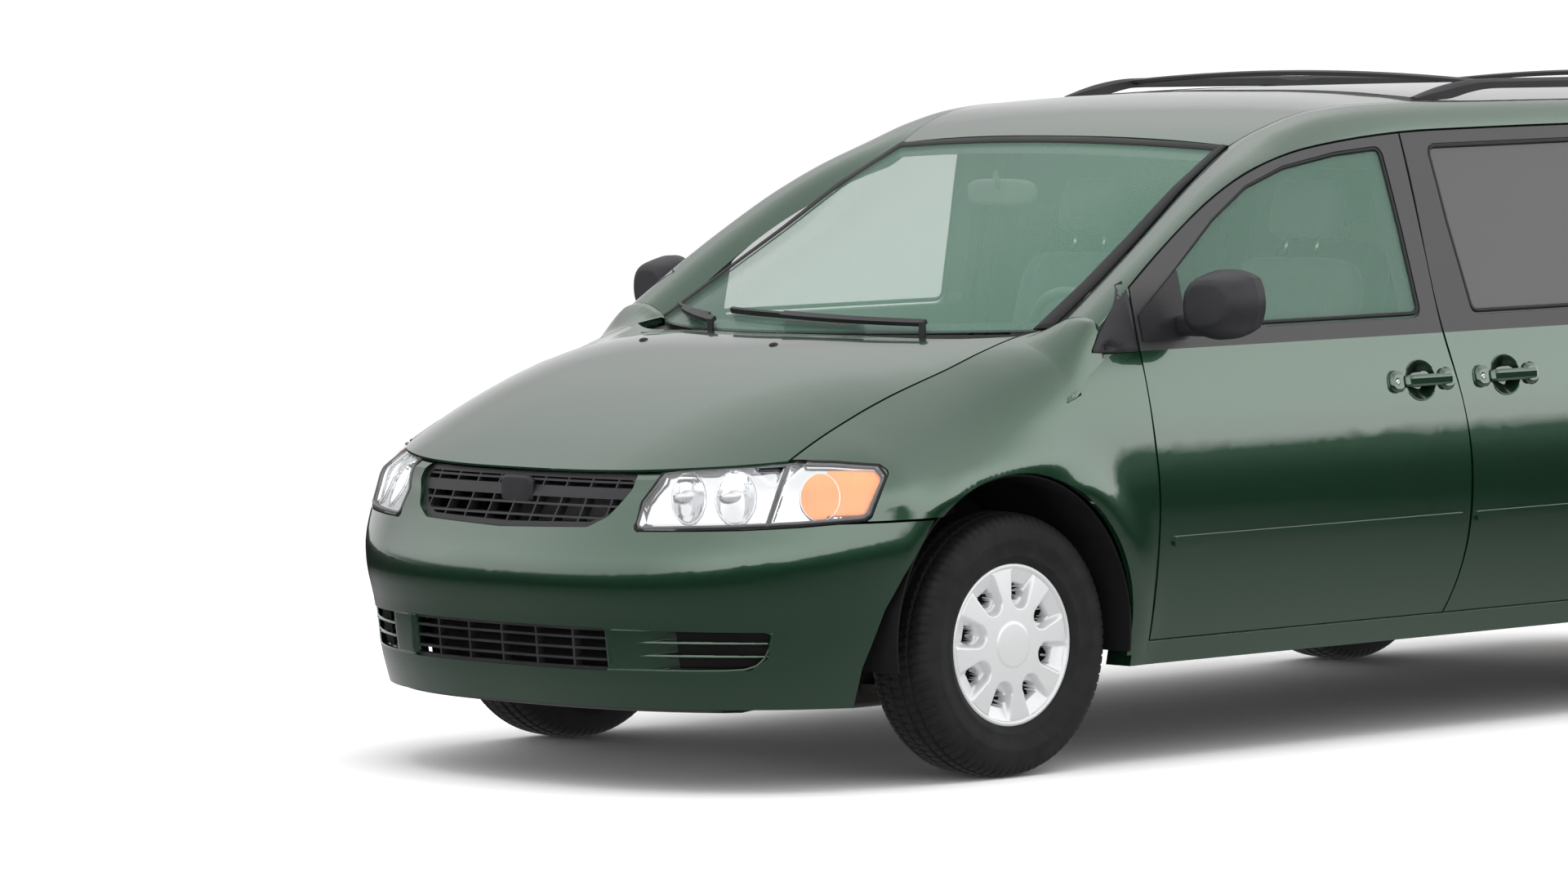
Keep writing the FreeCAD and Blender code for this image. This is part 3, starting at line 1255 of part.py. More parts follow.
def finish():
    keep_pair("body_side", body_side_left())
    keep_pair("fender", fender_left())
    keep("front_bumper", front_bumper())
    keep("upper_grille", upper_grille())
    keep("lower_grille", lower_grille())
    head, corner = lamp_halves()
    keep("headlamps", both(head))
    keep("corner_lamps", both(corner))
    keep("hood", hood())
    keep("windshield", windshield())
    keep("roof_panel", roof_panel())
    keep("cowl_panel", cowl_panel())
    keep("wipers", wipers())
    keep_pair("front_door", front_door_left())
    keep_pair("front_door_glass", side_pane(-380, -1640, FRONT_WINDOW))
    keep_pair("mirror", mirror_left())
    keep_pair("sliding_door", sliding_door_left())
    panes = [side_pane(-1440, -2520, SLIDING_WINDOW), side_pane(-2440, TAIL_START, QUARTER_WINDOW)]
    keep("side_glass", Part.makeCompound(panes + [mirrored(p) for p in panes]))
    keep("liftgate", liftgate())
    keep("liftgate_glass", liftgate_glass())
    keep("rear_bumper", rear_bumper())
    keep("tail_lamps", both(tail_lamp()))
    keep("roof_rack", roof_rack())
    keep("floor_pan", floor_pan())
    front_liner = liner(ARCH_FORWARD, ARCH_RADIUS, FRONT_LINER_INNER_Y, 905,
                        box(-TOWER_HALF_LENGTH - 5, TOWER_HALF_LENGTH + 5, 0, TOWER_OUTER_Y + 5, 0, 900))
    rear_liner = liner(REAR_AXLE, REAR_ARCH_RADIUS, LINER_INNER_Y, 838,
                       box(REAR_AXLE - 60, REAR_AXLE + 60, 0, LINER_INNER_Y + 30, 0, 372))
    keep("wheelhouses", Part.makeCompound([front_liner, mirrored(front_liner), rear_liner, mirrored(rear_liner)]))
    keep("dashboard", dashboard())
    keep("steering_wheel", steering_wheel())
    keep("front_seats", both(seat(-900, SEATS_Y - 255, SEATS_Y + 255)))
    keep("rear_seats", Part.makeCompound([seat(-1850, 150, 640), seat(-1850, -640, -150),
                                          seat(-2860, -550, 550, REAR_FLOOR_Z)]))
    keep("front_suspension", front_suspension())
    keep("front_structure", front_structure())
    keep("rear_axle", rear_axle())
    keep("engine_block", engine_block())
    keep("fuel_tank", fuel_tank())
    keep("exhaust", exhaust())
    keep_pair("knuckle", knuckle_left())
    for name, x, track in (("front", 0.0, FRONT_TRACK), ("rear", REAR_AXLE, REAR_TRACK)):
        for side, sign in (("left", 1), ("right", -1)):
            for part, make in (("tyre", tyre), ("wheel", wheel)):
                shape = make(track / 2)
                shape.translate(Vector(x, 0, TYRE_RADIUS))
                keep(f"{part}_{name}_{side}", shape if sign == 1 else mirrored(shape))


finish()
os.makedirs("parts", exist_ok=True)
for name, shape in NODES.items():
    shape.translate(Vector(ORIGIN_SHIFT, 0, 0))
    shape.exportStep(f"parts/{name}.step")
    box_now = shape.optimalBoundingBox()
    print(name, len(shape.Solids), shape.isValid(), [round(v) for v in (
        box_now.XMin, box_now.XMax, box_now.YMin, box_now.YMax, box_now.ZMin, box_now.ZMax)], round(shape.Volume / 1e6, 2))
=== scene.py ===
import bpy
import bmesh
import math
import json
from mathutils import Vector, Matrix
from mathutils.bvhtree import BVHTree

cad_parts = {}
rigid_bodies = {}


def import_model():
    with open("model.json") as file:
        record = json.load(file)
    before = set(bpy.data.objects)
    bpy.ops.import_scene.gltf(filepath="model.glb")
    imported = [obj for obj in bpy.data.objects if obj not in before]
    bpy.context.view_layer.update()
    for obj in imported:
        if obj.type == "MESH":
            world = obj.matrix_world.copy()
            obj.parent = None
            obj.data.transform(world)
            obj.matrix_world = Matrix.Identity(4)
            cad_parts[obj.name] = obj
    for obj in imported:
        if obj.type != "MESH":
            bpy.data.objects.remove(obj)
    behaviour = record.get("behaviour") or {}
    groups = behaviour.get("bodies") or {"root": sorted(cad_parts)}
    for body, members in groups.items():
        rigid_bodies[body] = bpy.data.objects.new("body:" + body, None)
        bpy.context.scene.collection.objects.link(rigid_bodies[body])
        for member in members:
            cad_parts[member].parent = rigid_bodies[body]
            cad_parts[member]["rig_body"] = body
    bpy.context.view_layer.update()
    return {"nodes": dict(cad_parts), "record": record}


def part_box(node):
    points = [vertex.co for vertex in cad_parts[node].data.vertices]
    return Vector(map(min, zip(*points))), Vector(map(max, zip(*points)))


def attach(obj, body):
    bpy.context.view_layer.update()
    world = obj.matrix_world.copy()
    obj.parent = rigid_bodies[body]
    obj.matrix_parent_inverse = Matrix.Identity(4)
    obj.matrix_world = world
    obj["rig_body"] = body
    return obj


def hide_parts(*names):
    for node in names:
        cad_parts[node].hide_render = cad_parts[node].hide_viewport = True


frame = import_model()
NODES = frame["nodes"]
scene = bpy.context.scene
BODY = {name: thing["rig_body"] for name, thing in NODES.items()}

# Places are given as d, y, z: millimetres ahead of the front axle's line, to the left and up. The
# frame's origin is AXLE metres behind that line. Left-hand pieces are made and then mirrored.
AXLE = 1.5325
SIDES = (("left", 1), ("right", -1))
FORWARD, LEFT, UP = Vector((1, 0, 0)), Vector((0, 1, 0)), Vector((0, 0, 1))


def at(d, y, z):
    """The point of the frame at d, y, z."""
    return Vector((AXLE + d / 1000, y / 1000, z / 1000))


def span(low, high, count):
    return [low + (high - low) * i / (count - 1) for i in range(count)]


def mix(a, b, t):
    return a + (b - a) * t


def share(value, low, high):
    """How far value is from low to high, kept between 0 and 1."""
    return min(1.0, max(0.0, (value - low) / (high - low)))


def eased(t):
    """t from 0 to 1, with a soft start and end."""
    return t * t * (3 - 2 * t)


def between(points, x):
    """The value at x of a line through a few (x, value) points, in order of x."""
    if x <= points[0][0]:
        return points[0][1]
    for (x0, v0), (x1, v1) in zip(points, points[1:]):
        if x <= x1:
            return v0 + (v1 - v0) * (x - x0) / (x1 - x0)
    return points[-1][1]


# Camera: the photograph's place, angle and lens

CAMERA_PLACE = Vector((14.9438, 14.6836, 1.9781))
CAMERA_ANGLES = (47.4814, 3.4185, -0.83462)
SENSOR_WIDTH = 36.0
LENS = 182.59
CLIP = (0.5, 200.0)


def look_camera():
    yaw, pitch, roll = (math.radians(angle) for angle in CAMERA_ANGLES)
    ahead = Vector((-math.cos(yaw) * math.cos(pitch), -math.sin(yaw) * math.cos(pitch), -math.sin(pitch)))
    right = ahead.cross(UP).normalized()
    up = right.cross(ahead)
    right, up = (math.cos(roll) * right + math.sin(roll) * up, -math.sin(roll) * right + math.cos(roll) * up)
    data = bpy.data.cameras.new("camera")
    data.sensor_width = SENSOR_WIDTH
    data.lens = LENS
    data.clip_start, data.clip_end = CLIP
    camera = bpy.data.objects.new("camera", data)
    matrix = Matrix((right, up, -ahead)).transposed().to_4x4()
    matrix.translation = CAMERA_PLACE
    camera.matrix_world = matrix
    scene.collection.objects.link(camera)
    scene.camera = camera


look_camera()


# Materials

def rgba(value):
    return (*value, 1.0) if isinstance(value, tuple) else (value, value, value, 1.0)


def scaled(colour, factor):
    return tuple(min(1.0, c * factor) for c in colour)


def shader(name, **values):
    """A new material with a Principled shader; values name its sockets."""
    material = bpy.data.materials.new(name)
    material.use_nodes = True
    principled = material.node_tree.nodes["Principled BSDF"]
    for key, value in values.items():
        principled.inputs[key.replace("_", " ")].default_value = rgba(value) if isinstance(value, tuple) else value
    return material


class Nodes:
    """Short ways to add and join the nodes of a material or a world; main is its shader."""

    def __init__(self, owner, main="Principled BSDF"):
        self.tree = owner.node_tree
        self.main = self.tree.nodes[main]

    def add(self, kind, inputs=None, **settings):
        node = self.tree.nodes.new("ShaderNode" + kind)
        for key, value in settings.items():
            setattr(node, key, value)
        for key, value in (inputs or {}).items():
            if isinstance(value, bpy.types.NodeSocket):
                self.tree.links.new(value, node.inputs[key])
            else:
                node.inputs[key].default_value = value
        return node

    def link(self, socket, name):
        self.tree.links.new(socket, self.main.inputs[name])

    def place(self, output="Object"):
        return self.add("TexCoord").outputs[output]

    def axis(self, name, output="Object"):
        """One part of the place on the object, in metres, or of another coordinate."""
        return self.add("SeparateXYZ", {"Vector": self.place(output)}).outputs[name]

    def math(self, operation, a, b=0.0):
        return self.add("Math", {0: a, 1: b}, operation=operation).outputs[0]

    def step(self, value, low, high):
        """0 below low and 1 above high, with a smooth rise between."""
        node = self.add("MapRange", {"Value": value, "From Min": low, "From Max": high},
                        interpolation_type="SMOOTHSTEP")
        return node.outputs["Result"]

    def blend(self, part, a, b):
        """The colour or grey a where part is 0 and b where it is 1."""
        a, b = (value if isinstance(value, bpy.types.NodeSocket) else rgba(value) for value in (a, b))
        return self.add("Mix", {"Factor": part, 6: a, 7: b}, data_type="RGBA").outputs[2]

    def noise(self, scale, detail=2.0, roughness=0.5):
        node = self.add("TexNoise", {"Vector": self.place(), "Scale": scale, "Detail": detail,
                                     "Roughness": roughness})
        return node.outputs["Fac"]

    def stops(self, factor, stops):
        """The colour or grey at factor of a ramp through (position, value) stops."""
        node = self.add("ValToRGB", {"Fac": factor})
        elements = node.color_ramp.elements
        while len(elements) < len(stops):
            elements.new(0.5)
        for element, (position, value) in zip(elements, stops):
            element.position = position
            element.color = rgba(value)
        return node.outputs["Color"]

    def ramp(self, factor, low, high, start=0.0, end=1.0):
        """The colour or grey from low to high, as factor goes from start to end."""
        return self.stops(factor, [(start, low), (end, high)])

    def bump(self, height, strength, distance, name="Normal"):
        node = self.add("Bump", {"Height": height, "Strength": strength, "Distance": distance})
        self.link(node.outputs["Normal"], name)
        return node.outputs["Normal"]


PAINT_DARK = (0.004, 0.027, 0.011)
PAINT_LIGHT = (0.009, 0.052, 0.023)
PAINT_METAL = 0.62
PAINT_ROUGHNESS = 0.24
CHARCOAL = (0.019, 0.019, 0.021)
CABIN_GREY = (0.135, 0.14, 0.14)
CABIN_ROUGHNESS = 0.50
BELT_Z = 1.021
BELT_EDGE = 0.0008


def paint_material(name="green_paint", mask=None):
    """Dark green metallic paint: fine flakes under a clear coat with a faint orange peel.

    mask(nodes) gives the shares, from 0 to 1, that are charcoal and that are cabin plastic instead."""
    material = shader(name, Metallic=PAINT_METAL, Roughness=PAINT_ROUGHNESS, Coat_Weight=1.0,
                      Coat_Roughness=0.012, Coat_IOR=1.6)
    n = Nodes(material)
    flakes = n.add("TexVoronoi", {"Vector": n.place(), "Scale": 900.0})
    grains = n.ramp(flakes.outputs["Color"], PAINT_DARK, PAINT_LIGHT)
    n.bump(n.noise(160.0, 1.0), 0.015, 0.001, "Coat Normal")
    if mask is None:
        n.link(grains, "Base Color")
        return material
    trim, inside = mask(n)
    grain = n.noise(420.0, 3.0)
    plastic = n.ramp(grain, scaled(CHARCOAL, 0.8), scaled(CHARCOAL, 1.25))
    cabin = n.ramp(grain, scaled(CABIN_GREY, 0.85), scaled(CABIN_GREY, 1.1))
    n.link(n.blend(inside, n.blend(trim, grains, plastic), cabin), "Base Color")
    bare = n.math("MAXIMUM", trim, inside)
    painted = n.math("SUBTRACT", 1.0, bare)
    n.link(n.math("MULTIPLY", painted, PAINT_METAL), "Metallic")
    n.link(painted, "Coat Weight")
    rougher = n.math("MULTIPLY", bare, CABIN_ROUGHNESS - PAINT_ROUGHNESS)
    n.link(n.math("ADD", rougher, PAINT_ROUGHNESS), "Roughness")
    n.bump(n.math("MULTIPLY", grain, bare), 0.3, 0.0004)
    return material


def side_mask(n):
    """Cabin trim where the surface faces the middle of the car."""
    outward = n.math("MULTIPLY", n.axis("Y", "Normal"), n.math("SIGN", n.axis("Y")))
    return 0.0, n.math("SUBTRACT", 1.0, n.step(outward, -0.75, -0.6))


def door_mask(n):
    """The same, and charcoal from the belt up."""
    return n.step(n.axis("Z"), BELT_Z - BELT_EDGE, BELT_Z + BELT_EDGE), side_mask(n)[1]


def roof_mask(n):
    """Headlining on the underside."""
    return 0.0, n.math("SUBTRACT", 1.0, n.step(n.axis("Z", "Normal"), -0.4, -0.2))


def plastic_material(name, colour, roughness, grain=420.0, depth=0.0004, spread=0.25, specular=0.5):
    """Moulded plastic with a fine grain and slightly uneven tone."""
    material = shader(name, Base_Color=colour, Roughness=roughness, Specular_IOR_Level=specular)
    n = Nodes(material)
    tone = n.noise(9.0, 3.0)
    n.link(n.ramp(tone, scaled(colour, 1 - spread), scaled(colour, 1 + spread), 0.3, 0.7), "Base Color")
    n.link(n.ramp(tone, max(0.05, roughness - 0.06), min(1.0, roughness + 0.06), 0.3, 0.7), "Roughness")
    n.bump(n.noise(grain, 3.0), 0.35, depth)
    return material


def glass_material(name, colour, clear, roughness=0.02, specular=0.5):
    """Tinted safety glass; clear is the share of light that passes straight through."""
    material = shader(name, Base_Color=colour, Roughness=roughness, IOR=1.5, Alpha=1.0 - clear,
                      Specular_IOR_Level=specular)
    n = Nodes(material)
    n.link(n.ramp(n.noise(3.0), roughness * 0.6, roughness * 1.6 + 0.01), "Roughness")
    return material


def rubber_material():
    """Tyre rubber with a little dust."""
    material = shader("tyre_rubber", Base_Color=(0.02, 0.02, 0.021), Roughness=0.66, Specular_IOR_Level=0.16)
    n = Nodes(material)
    dust = n.noise(22.0, 4.0, 0.6)
    n.link(n.ramp(dust, (0.007, 0.007, 0.0075), (0.014, 0.014, 0.0145), 0.35, 0.75), "Base Color")
    n.bump(n.noise(700.0), 0.25, 0.0003)
    return material


def silver_material(name, colour):
    """Silver painted plastic with fine flakes."""
    material = shader(name, Base_Color=colour, Roughness=0.33, Metallic=0.25, Coat_Weight=0.25,
                      Coat_Roughness=0.12)
    n = Nodes(material)
    flakes = n.add("TexVoronoi", {"Vector": n.place(), "Scale": 1400.0})
    n.link(n.ramp(flakes.outputs["Color"], scaled(colour, 0.9), scaled(colour, 1.06)), "Base Color")
    n.bump(n.noise(260.0), 0.06, 0.0003)
    return material


RUST = (0.16, 0.07, 0.035)


def metal_material(name, colour, roughness, metallic=1.0, rust=0.0):
    """Bare or painted metal, duller and rustier in its worn spots."""
    material = shader(name, Base_Color=colour, Roughness=roughness, Metallic=metallic)
    n = Nodes(material)
    wear = n.noise(30.0, 5.0, 0.65)
    stained = tuple(mix(a, b, rust) for a, b in zip(colour, RUST))
    n.link(n.ramp(wear, stained, colour, 0.35, 0.65), "Base Color")
    n.link(n.ramp(wear, roughness + 0.15, roughness, 0.35, 0.65), "Roughness")
    n.bump(wear, 0.2, 0.0008)
    return material


def chrome_material():
    """A lamp's metallised reflector with faint flutes."""
    material = shader("reflector_chrome", Base_Color=(0.62, 0.63, 0.64), Roughness=0.08, Metallic=1.0)
    n = Nodes(material)
    n.link(n.ramp(n.noise(40.0, 3.0), 0.05, 0.16), "Roughness")
    flutes = n.add("TexWave", {"Vector": n.place(), "Scale": 42.0, "Distortion": 0.4}, bands_direction="DIAGONAL")
    n.bump(flutes.outputs["Fac"], 0.12, 0.001)
    return material


def cloth_material(name, colour):
    """Woven seat cloth."""
    material = shader(name, Base_Color=colour, Roughness=0.9, Sheen_Weight=0.3, Sheen_Roughness=0.5)
    n = Nodes(material)
    warp = n.add("TexWave", {"Vector": n.place(), "Scale": 260.0, "Distortion": 1.0, "Detail": 1.0})
    weft = n.add("TexWave", {"Vector": n.place(), "Scale": 260.0, "Distortion": 1.0}, bands_direction="Z")
    weave = n.math("MULTIPLY", warp.outputs["Fac"], weft.outputs["Fac"])
    tone = n.math("ADD", weave, n.noise(14.0, 3.0))
    n.link(n.ramp(tone, scaled(colour, 0.7), scaled(colour, 1.2), 0.2, 1.2), "Base Color")
    n.bump(weave, 0.4, 0.0006)
    return material


def cup_paint():
    """The paint in the finger cups: its surface turns as a hollow's does, and its colour carries painted shade, darker
    towards the deep middle.
    """
    material = shader("cup_paint", Metallic=0.6, Roughness=0.28, Coat_Weight=0.8, Coat_Roughness=0.03)
    n = Nodes(material)
    across, up = (n.math("SUBTRACT", n.axis(name, "Generated"), 0.5) for name in ("X", "Z"))
    away = n.math("ADD", n.math("MULTIPLY", across, across), n.math("MULTIPLY", up, up))
    # Painted shade: the base colour falls to about an eighth of the paint's towards the cup's middle.
    n.link(n.ramp(n.math("MULTIPLY", away, 4.0), scaled(PAINT_LIGHT, 0.12), PAINT_LIGHT, 0.3, 1.0), "Base Color")
    n.link(n.bump(away, 1.0, 0.09), "Coat Normal")
    return material


M = {
    "paint": paint_material(),
    "trim": plastic_material("charcoal_plastic", CHARCOAL, 0.46, specular=0.22),
    "lamp": glass_material("lamp_lens", (0.95, 0.96, 0.97), 0.86),
    "tail_lamp": plastic_material("tail_lens", (0.42, 0.012, 0.014), 0.12, spread=0.15),
    "clear_glass": glass_material("green_glass", (0.16, 0.30, 0.23), 0.74, specular=0.35),
    "dark_glass": glass_material("privacy_glass", (0.055, 0.055, 0.058), 0.10, specular=0.35),
    "underbody": plastic_material("underbody_black", (0.02, 0.02, 0.021), 0.75, 60.0, 0.0015, specular=0.15),
    "liner": plastic_material("liner_black", (0.010, 0.010, 0.011), 0.85, 120.0, 0.001, specular=0.08),
    "interior": plastic_material("cabin_plastic", CABIN_GREY, 0.7, specular=0.2),
    "seat_fabric": cloth_material("seat_cloth", (0.15, 0.155, 0.16)),
    "chassis": metal_material("painted_iron", (0.03, 0.03, 0.031), 0.55, 0.3, 0.2),
    "engine": metal_material("cast_metal", (0.25, 0.25, 0.25), 0.5, 0.8),
    "exhaust": metal_material("exhaust_steel", (0.35, 0.33, 0.31), 0.4, 1.0, 0.3),
    "tyre": rubber_material(),
    "wheel_cover": silver_material("cover_silver", (0.60, 0.61, 0.615)),
}
RUBBER = plastic_material("seal_rubber", (0.010, 0.010, 0.011), 0.5, 700.0, 0.0003, specular=0.2)
GASKET = plastic_material("lamp_gasket", (0.10, 0.105, 0.11), 0.45, 700.0, 0.0003, specular=0.3)
FRIT = plastic_material("glass_frit", (0.018, 0.019, 0.020), 0.3, 900.0, 0.0001, specular=0.2)
# Near-black for the wheel cover's window floors, the rim behind the cover, and the sheets behind the intake and outer
# openings: partly the dark parts there, partly painted shade in those hollows.
BLACK_AND_PAINTED_SHADE = plastic_material("black_and_painted_shade", (0.006, 0.006, 0.006), 0.8, 200.0, 0.0005, specular=0.1)
AMBER = plastic_material("amber_lens", (0.95, 0.27, 0.04), 0.14, 300.0, 0.0002, 0.1)
CROWN = plastic_material("lamp_crown", (0.55, 0.56, 0.57), 0.2, 300.0, 0.0002, 0.1)
BEZEL = metal_material("lamp_bezel", (0.62, 0.63, 0.64), 0.2, 0.9)
BULB = metal_material("bulb_glass", (0.55, 0.56, 0.58), 0.15, 0.5)
POST = metal_material("seat_post", (0.6, 0.6, 0.61), 0.25)
CHROME = chrome_material()
CUP_PAINT_WITH_PAINTED_SHADE = cup_paint()


def dress_nodes():
    """Each CAD node gets its slot's material; doors, body sides and roof have cabin trim on the inside."""
    slots = {part["node"]: part["material_slot"] for part in frame["record"]["subparts"]}
    door, side = paint_material("door_paint", door_mask), paint_material("side_paint", side_mask)
    special = {"roof_panel": paint_material("roof_paint", roof_mask)}
    for end, _ in SIDES:
        special |= {f"front_door_{end}": door, f"sliding_door_{end}": door, f"body_side_{end}": side}
    for name, thing in NODES.items():
        thing.data.materials.clear()
        thing.data.materials.append(special.get(name, M[slots[name]]))


dress_nodes()


# Making and joining shapes: a shape is a list of points and a list of faces

def piece(name, shape, material, node, slot):
    """A new piece that rides with a CAD node, in the given material; slot is not used."""
    mesh = bpy.data.meshes.new(name)
    mesh.from_pydata([tuple(p) for p in shape[0]], [], shape[1])
    mesh.validate()
    mesh.polygons.foreach_set("use_smooth", [True] * len(mesh.polygons))
    made = bpy.data.objects.new(name, mesh)
    made.data.materials.append(material)
    scene.collection.objects.link(made)
    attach(made, BODY[node])
    return made


def turned_out(faces):
    return [tuple(reversed(face)) for face in faces]


def pair(name, shape, material, node, slot):
    """A left-hand piece and its mirror image; {} in node stands for left or right."""
    for side_name, side in SIDES:
        points = [Vector((p.x, p.y * side, p.z)) for p in shape[0]]
        faces = shape[1] if side == 1 else turned_out(shape[1])
        piece(f"{name}_{side_name}", (points, faces), material, node.format(side_name), slot)


def joined(shapes):
    """Several shapes as one."""
    points, faces = [], []
    for some, more in shapes:
        shift = len(points)
        points += some
        faces += [tuple(i + shift for i in face) for face in more]
    return points, faces


def closed_sheet(outer, inner, keep=None):
    """The closed solid between two grids of points; keep marks the grid points that it reaches."""
    rows, columns = len(outer), len(outer[0])
    half = rows * columns
    solid = {(i, j) for i in range(rows - 1) for j in range(columns - 1)
             if keep is None or all(keep[i + m][j + n] for m in (0, 1) for n in (0, 1))}
    faces = []
    for i, j in sorted(solid):
        a = i * columns + j
        b = a + columns
        faces += [(a, a + 1, b + 1, b), (half + a, half + b, half + b + 1, half + a + 1)]
        if (i - 1, j) not in solid:
            faces.append((a, half + a, half + a + 1, a + 1))
        if (i + 1, j) not in solid:
            faces.append((b, b + 1, half + b + 1, half + b))
        if (i, j - 1) not in solid:
            faces.append((a, b, half + b, half + a))
        if (i, j + 1) not in solid:
            faces.append((a + 1, half + a + 1, half + b + 1, b + 1))
    points = [p for grid in (outer, inner) for row in grid for p in row]
    used = sorted({i for face in faces for i in face})
    place_in = {old: new for new, old in enumerate(used)}
    return [points[i] for i in used], [tuple(place_in[i] for i in face) for face in faces]


def ring(centre, one, two, size, count):
    """The points of a circle or, with uneven axes one and two, an ellipse."""
    return [centre + one * (size * math.cos(a)) + two * (size * math.sin(a))
            for a in (2 * math.pi * k / count for k in range(count))]


def stacked(rings, loop=False, first=True, last=True):
    """The skin over rings of points, closed into a loop or with flat ends."""
    count, rows = len(rings[0]), len(rings)
    faces = [(i * count + k, i * count + (k + 1) % count, (i + 1) % rows * count + (k + 1) % count,
              (i + 1) % rows * count + k) for i in range(rows if loop else rows - 1) for k in range(count)]
    if first and not loop:
        faces.append(tuple(range(count))[::-1])
    if last and not loop:
        faces.append(tuple((rows - 1) * count + k for k in range(count)))
    return [p for row in rings for p in row], faces


TUBE_SIDES = 8


def tube(path, radius, closed=False, flat=1.0, up=UP):
    """A round or flattened tube along a path of points."""
    count = len(path)
    rings = []
    for i, p in enumerate(path):
        before = path[i - 1] if i or closed else p
        after = path[(i + 1) % count] if i < count - 1 or closed else p
        along = (after - before).normalized()
        one = along.cross(up)
        one = one.normalized() if one.length > 1e-6 else FORWARD
        rings.append(ring(p, one, along.cross(one).normalized() * flat, radius, TUBE_SIDES))
    return stacked(rings, loop=closed)


def squarish(angle, power):
    """The point at an angle on a rounded square from -1 to 1."""
    c, s = math.cos(angle), math.sin(angle)
    scale = (abs(c) ** power + abs(s) ** power) ** (-1 / power)
    return c * scale, s * scale


class Skin:
    """The surface of some CAD nodes, and of more shapes, to lay pieces on."""

    def __init__(self, *names, more=()):
        shapes = [*more]
        for name in names:
            mesh = NODES[name].data
            shapes.append(([v.co.copy() for v in mesh.vertices], [tuple(p.vertices) for p in mesh.polygons]))
        self.tree = BVHTree.FromPolygons(*joined(shapes))

    def hit(self, origin, direction):
        return self.tree.ray_cast(origin, direction)[0]

    def top(self, d, y):
        """The highest point at a station and a width, or beside it where a gap is hit."""
        for aside in (0, 0.7, -0.7, 2, -2, 5):
            place = self.hit(at(d + aside, y + aside, 2500), -UP)
            if place:
                return place
        return None

    def front(self, y, z):
        """The foremost point at a width and a height."""
        return self.hit(Vector((3.5, y / 1000, z / 1000)), -FORWARD)

    def side(self, d, z):
        """The outermost point of the left side at a station and a height."""
        return self.hit(at(d, 1400, z), -LEFT)


def rounded_loop(corners, radius, step=18.0):
    """Points along a closed outline with rounded corners, at most about step apart on its straights."""
    corners = [Vector(corner) for corner in corners]
    bends = []
    for i, corner in enumerate(corners):
        before = corners[i - 1] - corner
        after = corners[(i + 1) % len(corners)] - corner
        cut = min(radius / math.tan(before.angle(after) / 2), 0.45 * before.length, 0.45 * after.length)
        bends.append((corner + before.normalized() * cut, corner, corner + after.normalized() * cut))
    loop = []
    for (start, corner, end), (goal, _, _) in zip(bends, bends[1:] + bends[:1]):
        loop += [start * (1 - t) ** 2 + corner * (2 * t * (1 - t)) + end * t * t for t in span(0, 1, 6)]
        pieces = int((goal - end).length / step)
        loop += [end.lerp(goal, k / pieces) for k in range(1, pieces)]
    return loop


# Windscreen: its edge as in the CAD source, from the roof down to the base

SCREEN_LOW_D, SCREEN_HIGH_D = -300, -1039
SCREEN_EDGE_Y = [(-1039, 604), (-842, 640), (-665, 670), (-490, 700), (-300, 722)]
SCREEN_EDGE_Z = [(-1039, 1505), (-842, 1403), (-665, 1290), (-490, 1185), (-300, 1076)]
SCREEN_BASE = (44.0, 1072.0)
SCREEN_TOP = (-1012.0, 1526.0)
SCREEN_CROWN = 60
SCREEN_OUT = (0.45, 0.30, 0.89)


def screen_point(up, across, lift=0.0):
    """A point of the windscreen: up from 0 to 1, across from -1 to 1, and lift in millimetres off it."""
    d = mix(SCREEN_LOW_D, SCREEN_HIGH_D, up)
    middle_z = mix(SCREEN_BASE[1], SCREEN_TOP[1], up) + SCREEN_CROWN * up * (1 - up)
    bend = across * across
    point = at(mix(mix(SCREEN_BASE[0], SCREEN_TOP[0], up), d, bend), across * between(SCREEN_EDGE_Y, d),
               mix(middle_z, between(SCREEN_EDGE_Z, d), bend))
    ahead, aside, high = SCREEN_OUT
    return point + Vector((ahead, aside * across, high)).normalized() * (lift / 1000)


BAND_LIFTS = (-7.4, -8.4)
BAND_LOW, BAND_HIGH, BAND_SIDE = 0.045, 0.925, 0.945
SIDE_MOULDING = ((0.945, 0.8), (0.955, 4.0), (0.975, 5.5), (0.992, 4.0))
TOP_MOULDING = ((0.968, 0.8), (0.975, 4.0), (0.99, 5.0), (0.999, 3.0))


def windscreen_trim():
    """The black band fired on the glass, wide at the top and foot, and the rubber moulding round it."""
    ups, acrosses = span(0.0, 0.992, 41), span(-0.982, 0.982, 61)
    columns = len(acrosses)
    half = len(ups) * columns
    faces = []
    for i in range(len(ups) - 1):
        for j in range(columns - 1):
            up = (ups[i] + ups[i + 1]) / 2
            if up < BAND_LOW or up > BAND_HIGH or abs(acrosses[j] + acrosses[j + 1]) / 2 > BAND_SIDE:
                a = i * columns + j
                b = a + columns
                faces += [(a, a + 1, b + 1, b), (half + a, half + b, half + b + 1, half + a + 1)]
    points = [screen_point(up, across, lift) for lift in BAND_LIFTS for up in ups for across in acrosses]
    piece("windscreen_band", (points, faces), FRIT, "windshield", "trim")
    strips = [closed_sheet([[screen_point(up, side * across, lift) for across, lift in SIDE_MOULDING]
                            for up in span(0.0, 1.0, 40)],
                           [[screen_point(up, side * across, -1.0) for across, _ in SIDE_MOULDING]
                            for up in span(0.0, 1.0, 40)]) for _, side in SIDES]
    strips.append(closed_sheet([[screen_point(up, across, lift) for up, lift in TOP_MOULDING]
                                for across in span(-0.99, 0.99, 50)],
                               [[screen_point(up, across, -1.0) for up, _ in TOP_MOULDING]
                                for across in span(-0.99, 0.99, 50)]))
    piece("windscreen_moulding", joined(strips), RUBBER, "windshield", "trim")


windscreen_trim()


# Side windows: outlines of the panes and the seals round them

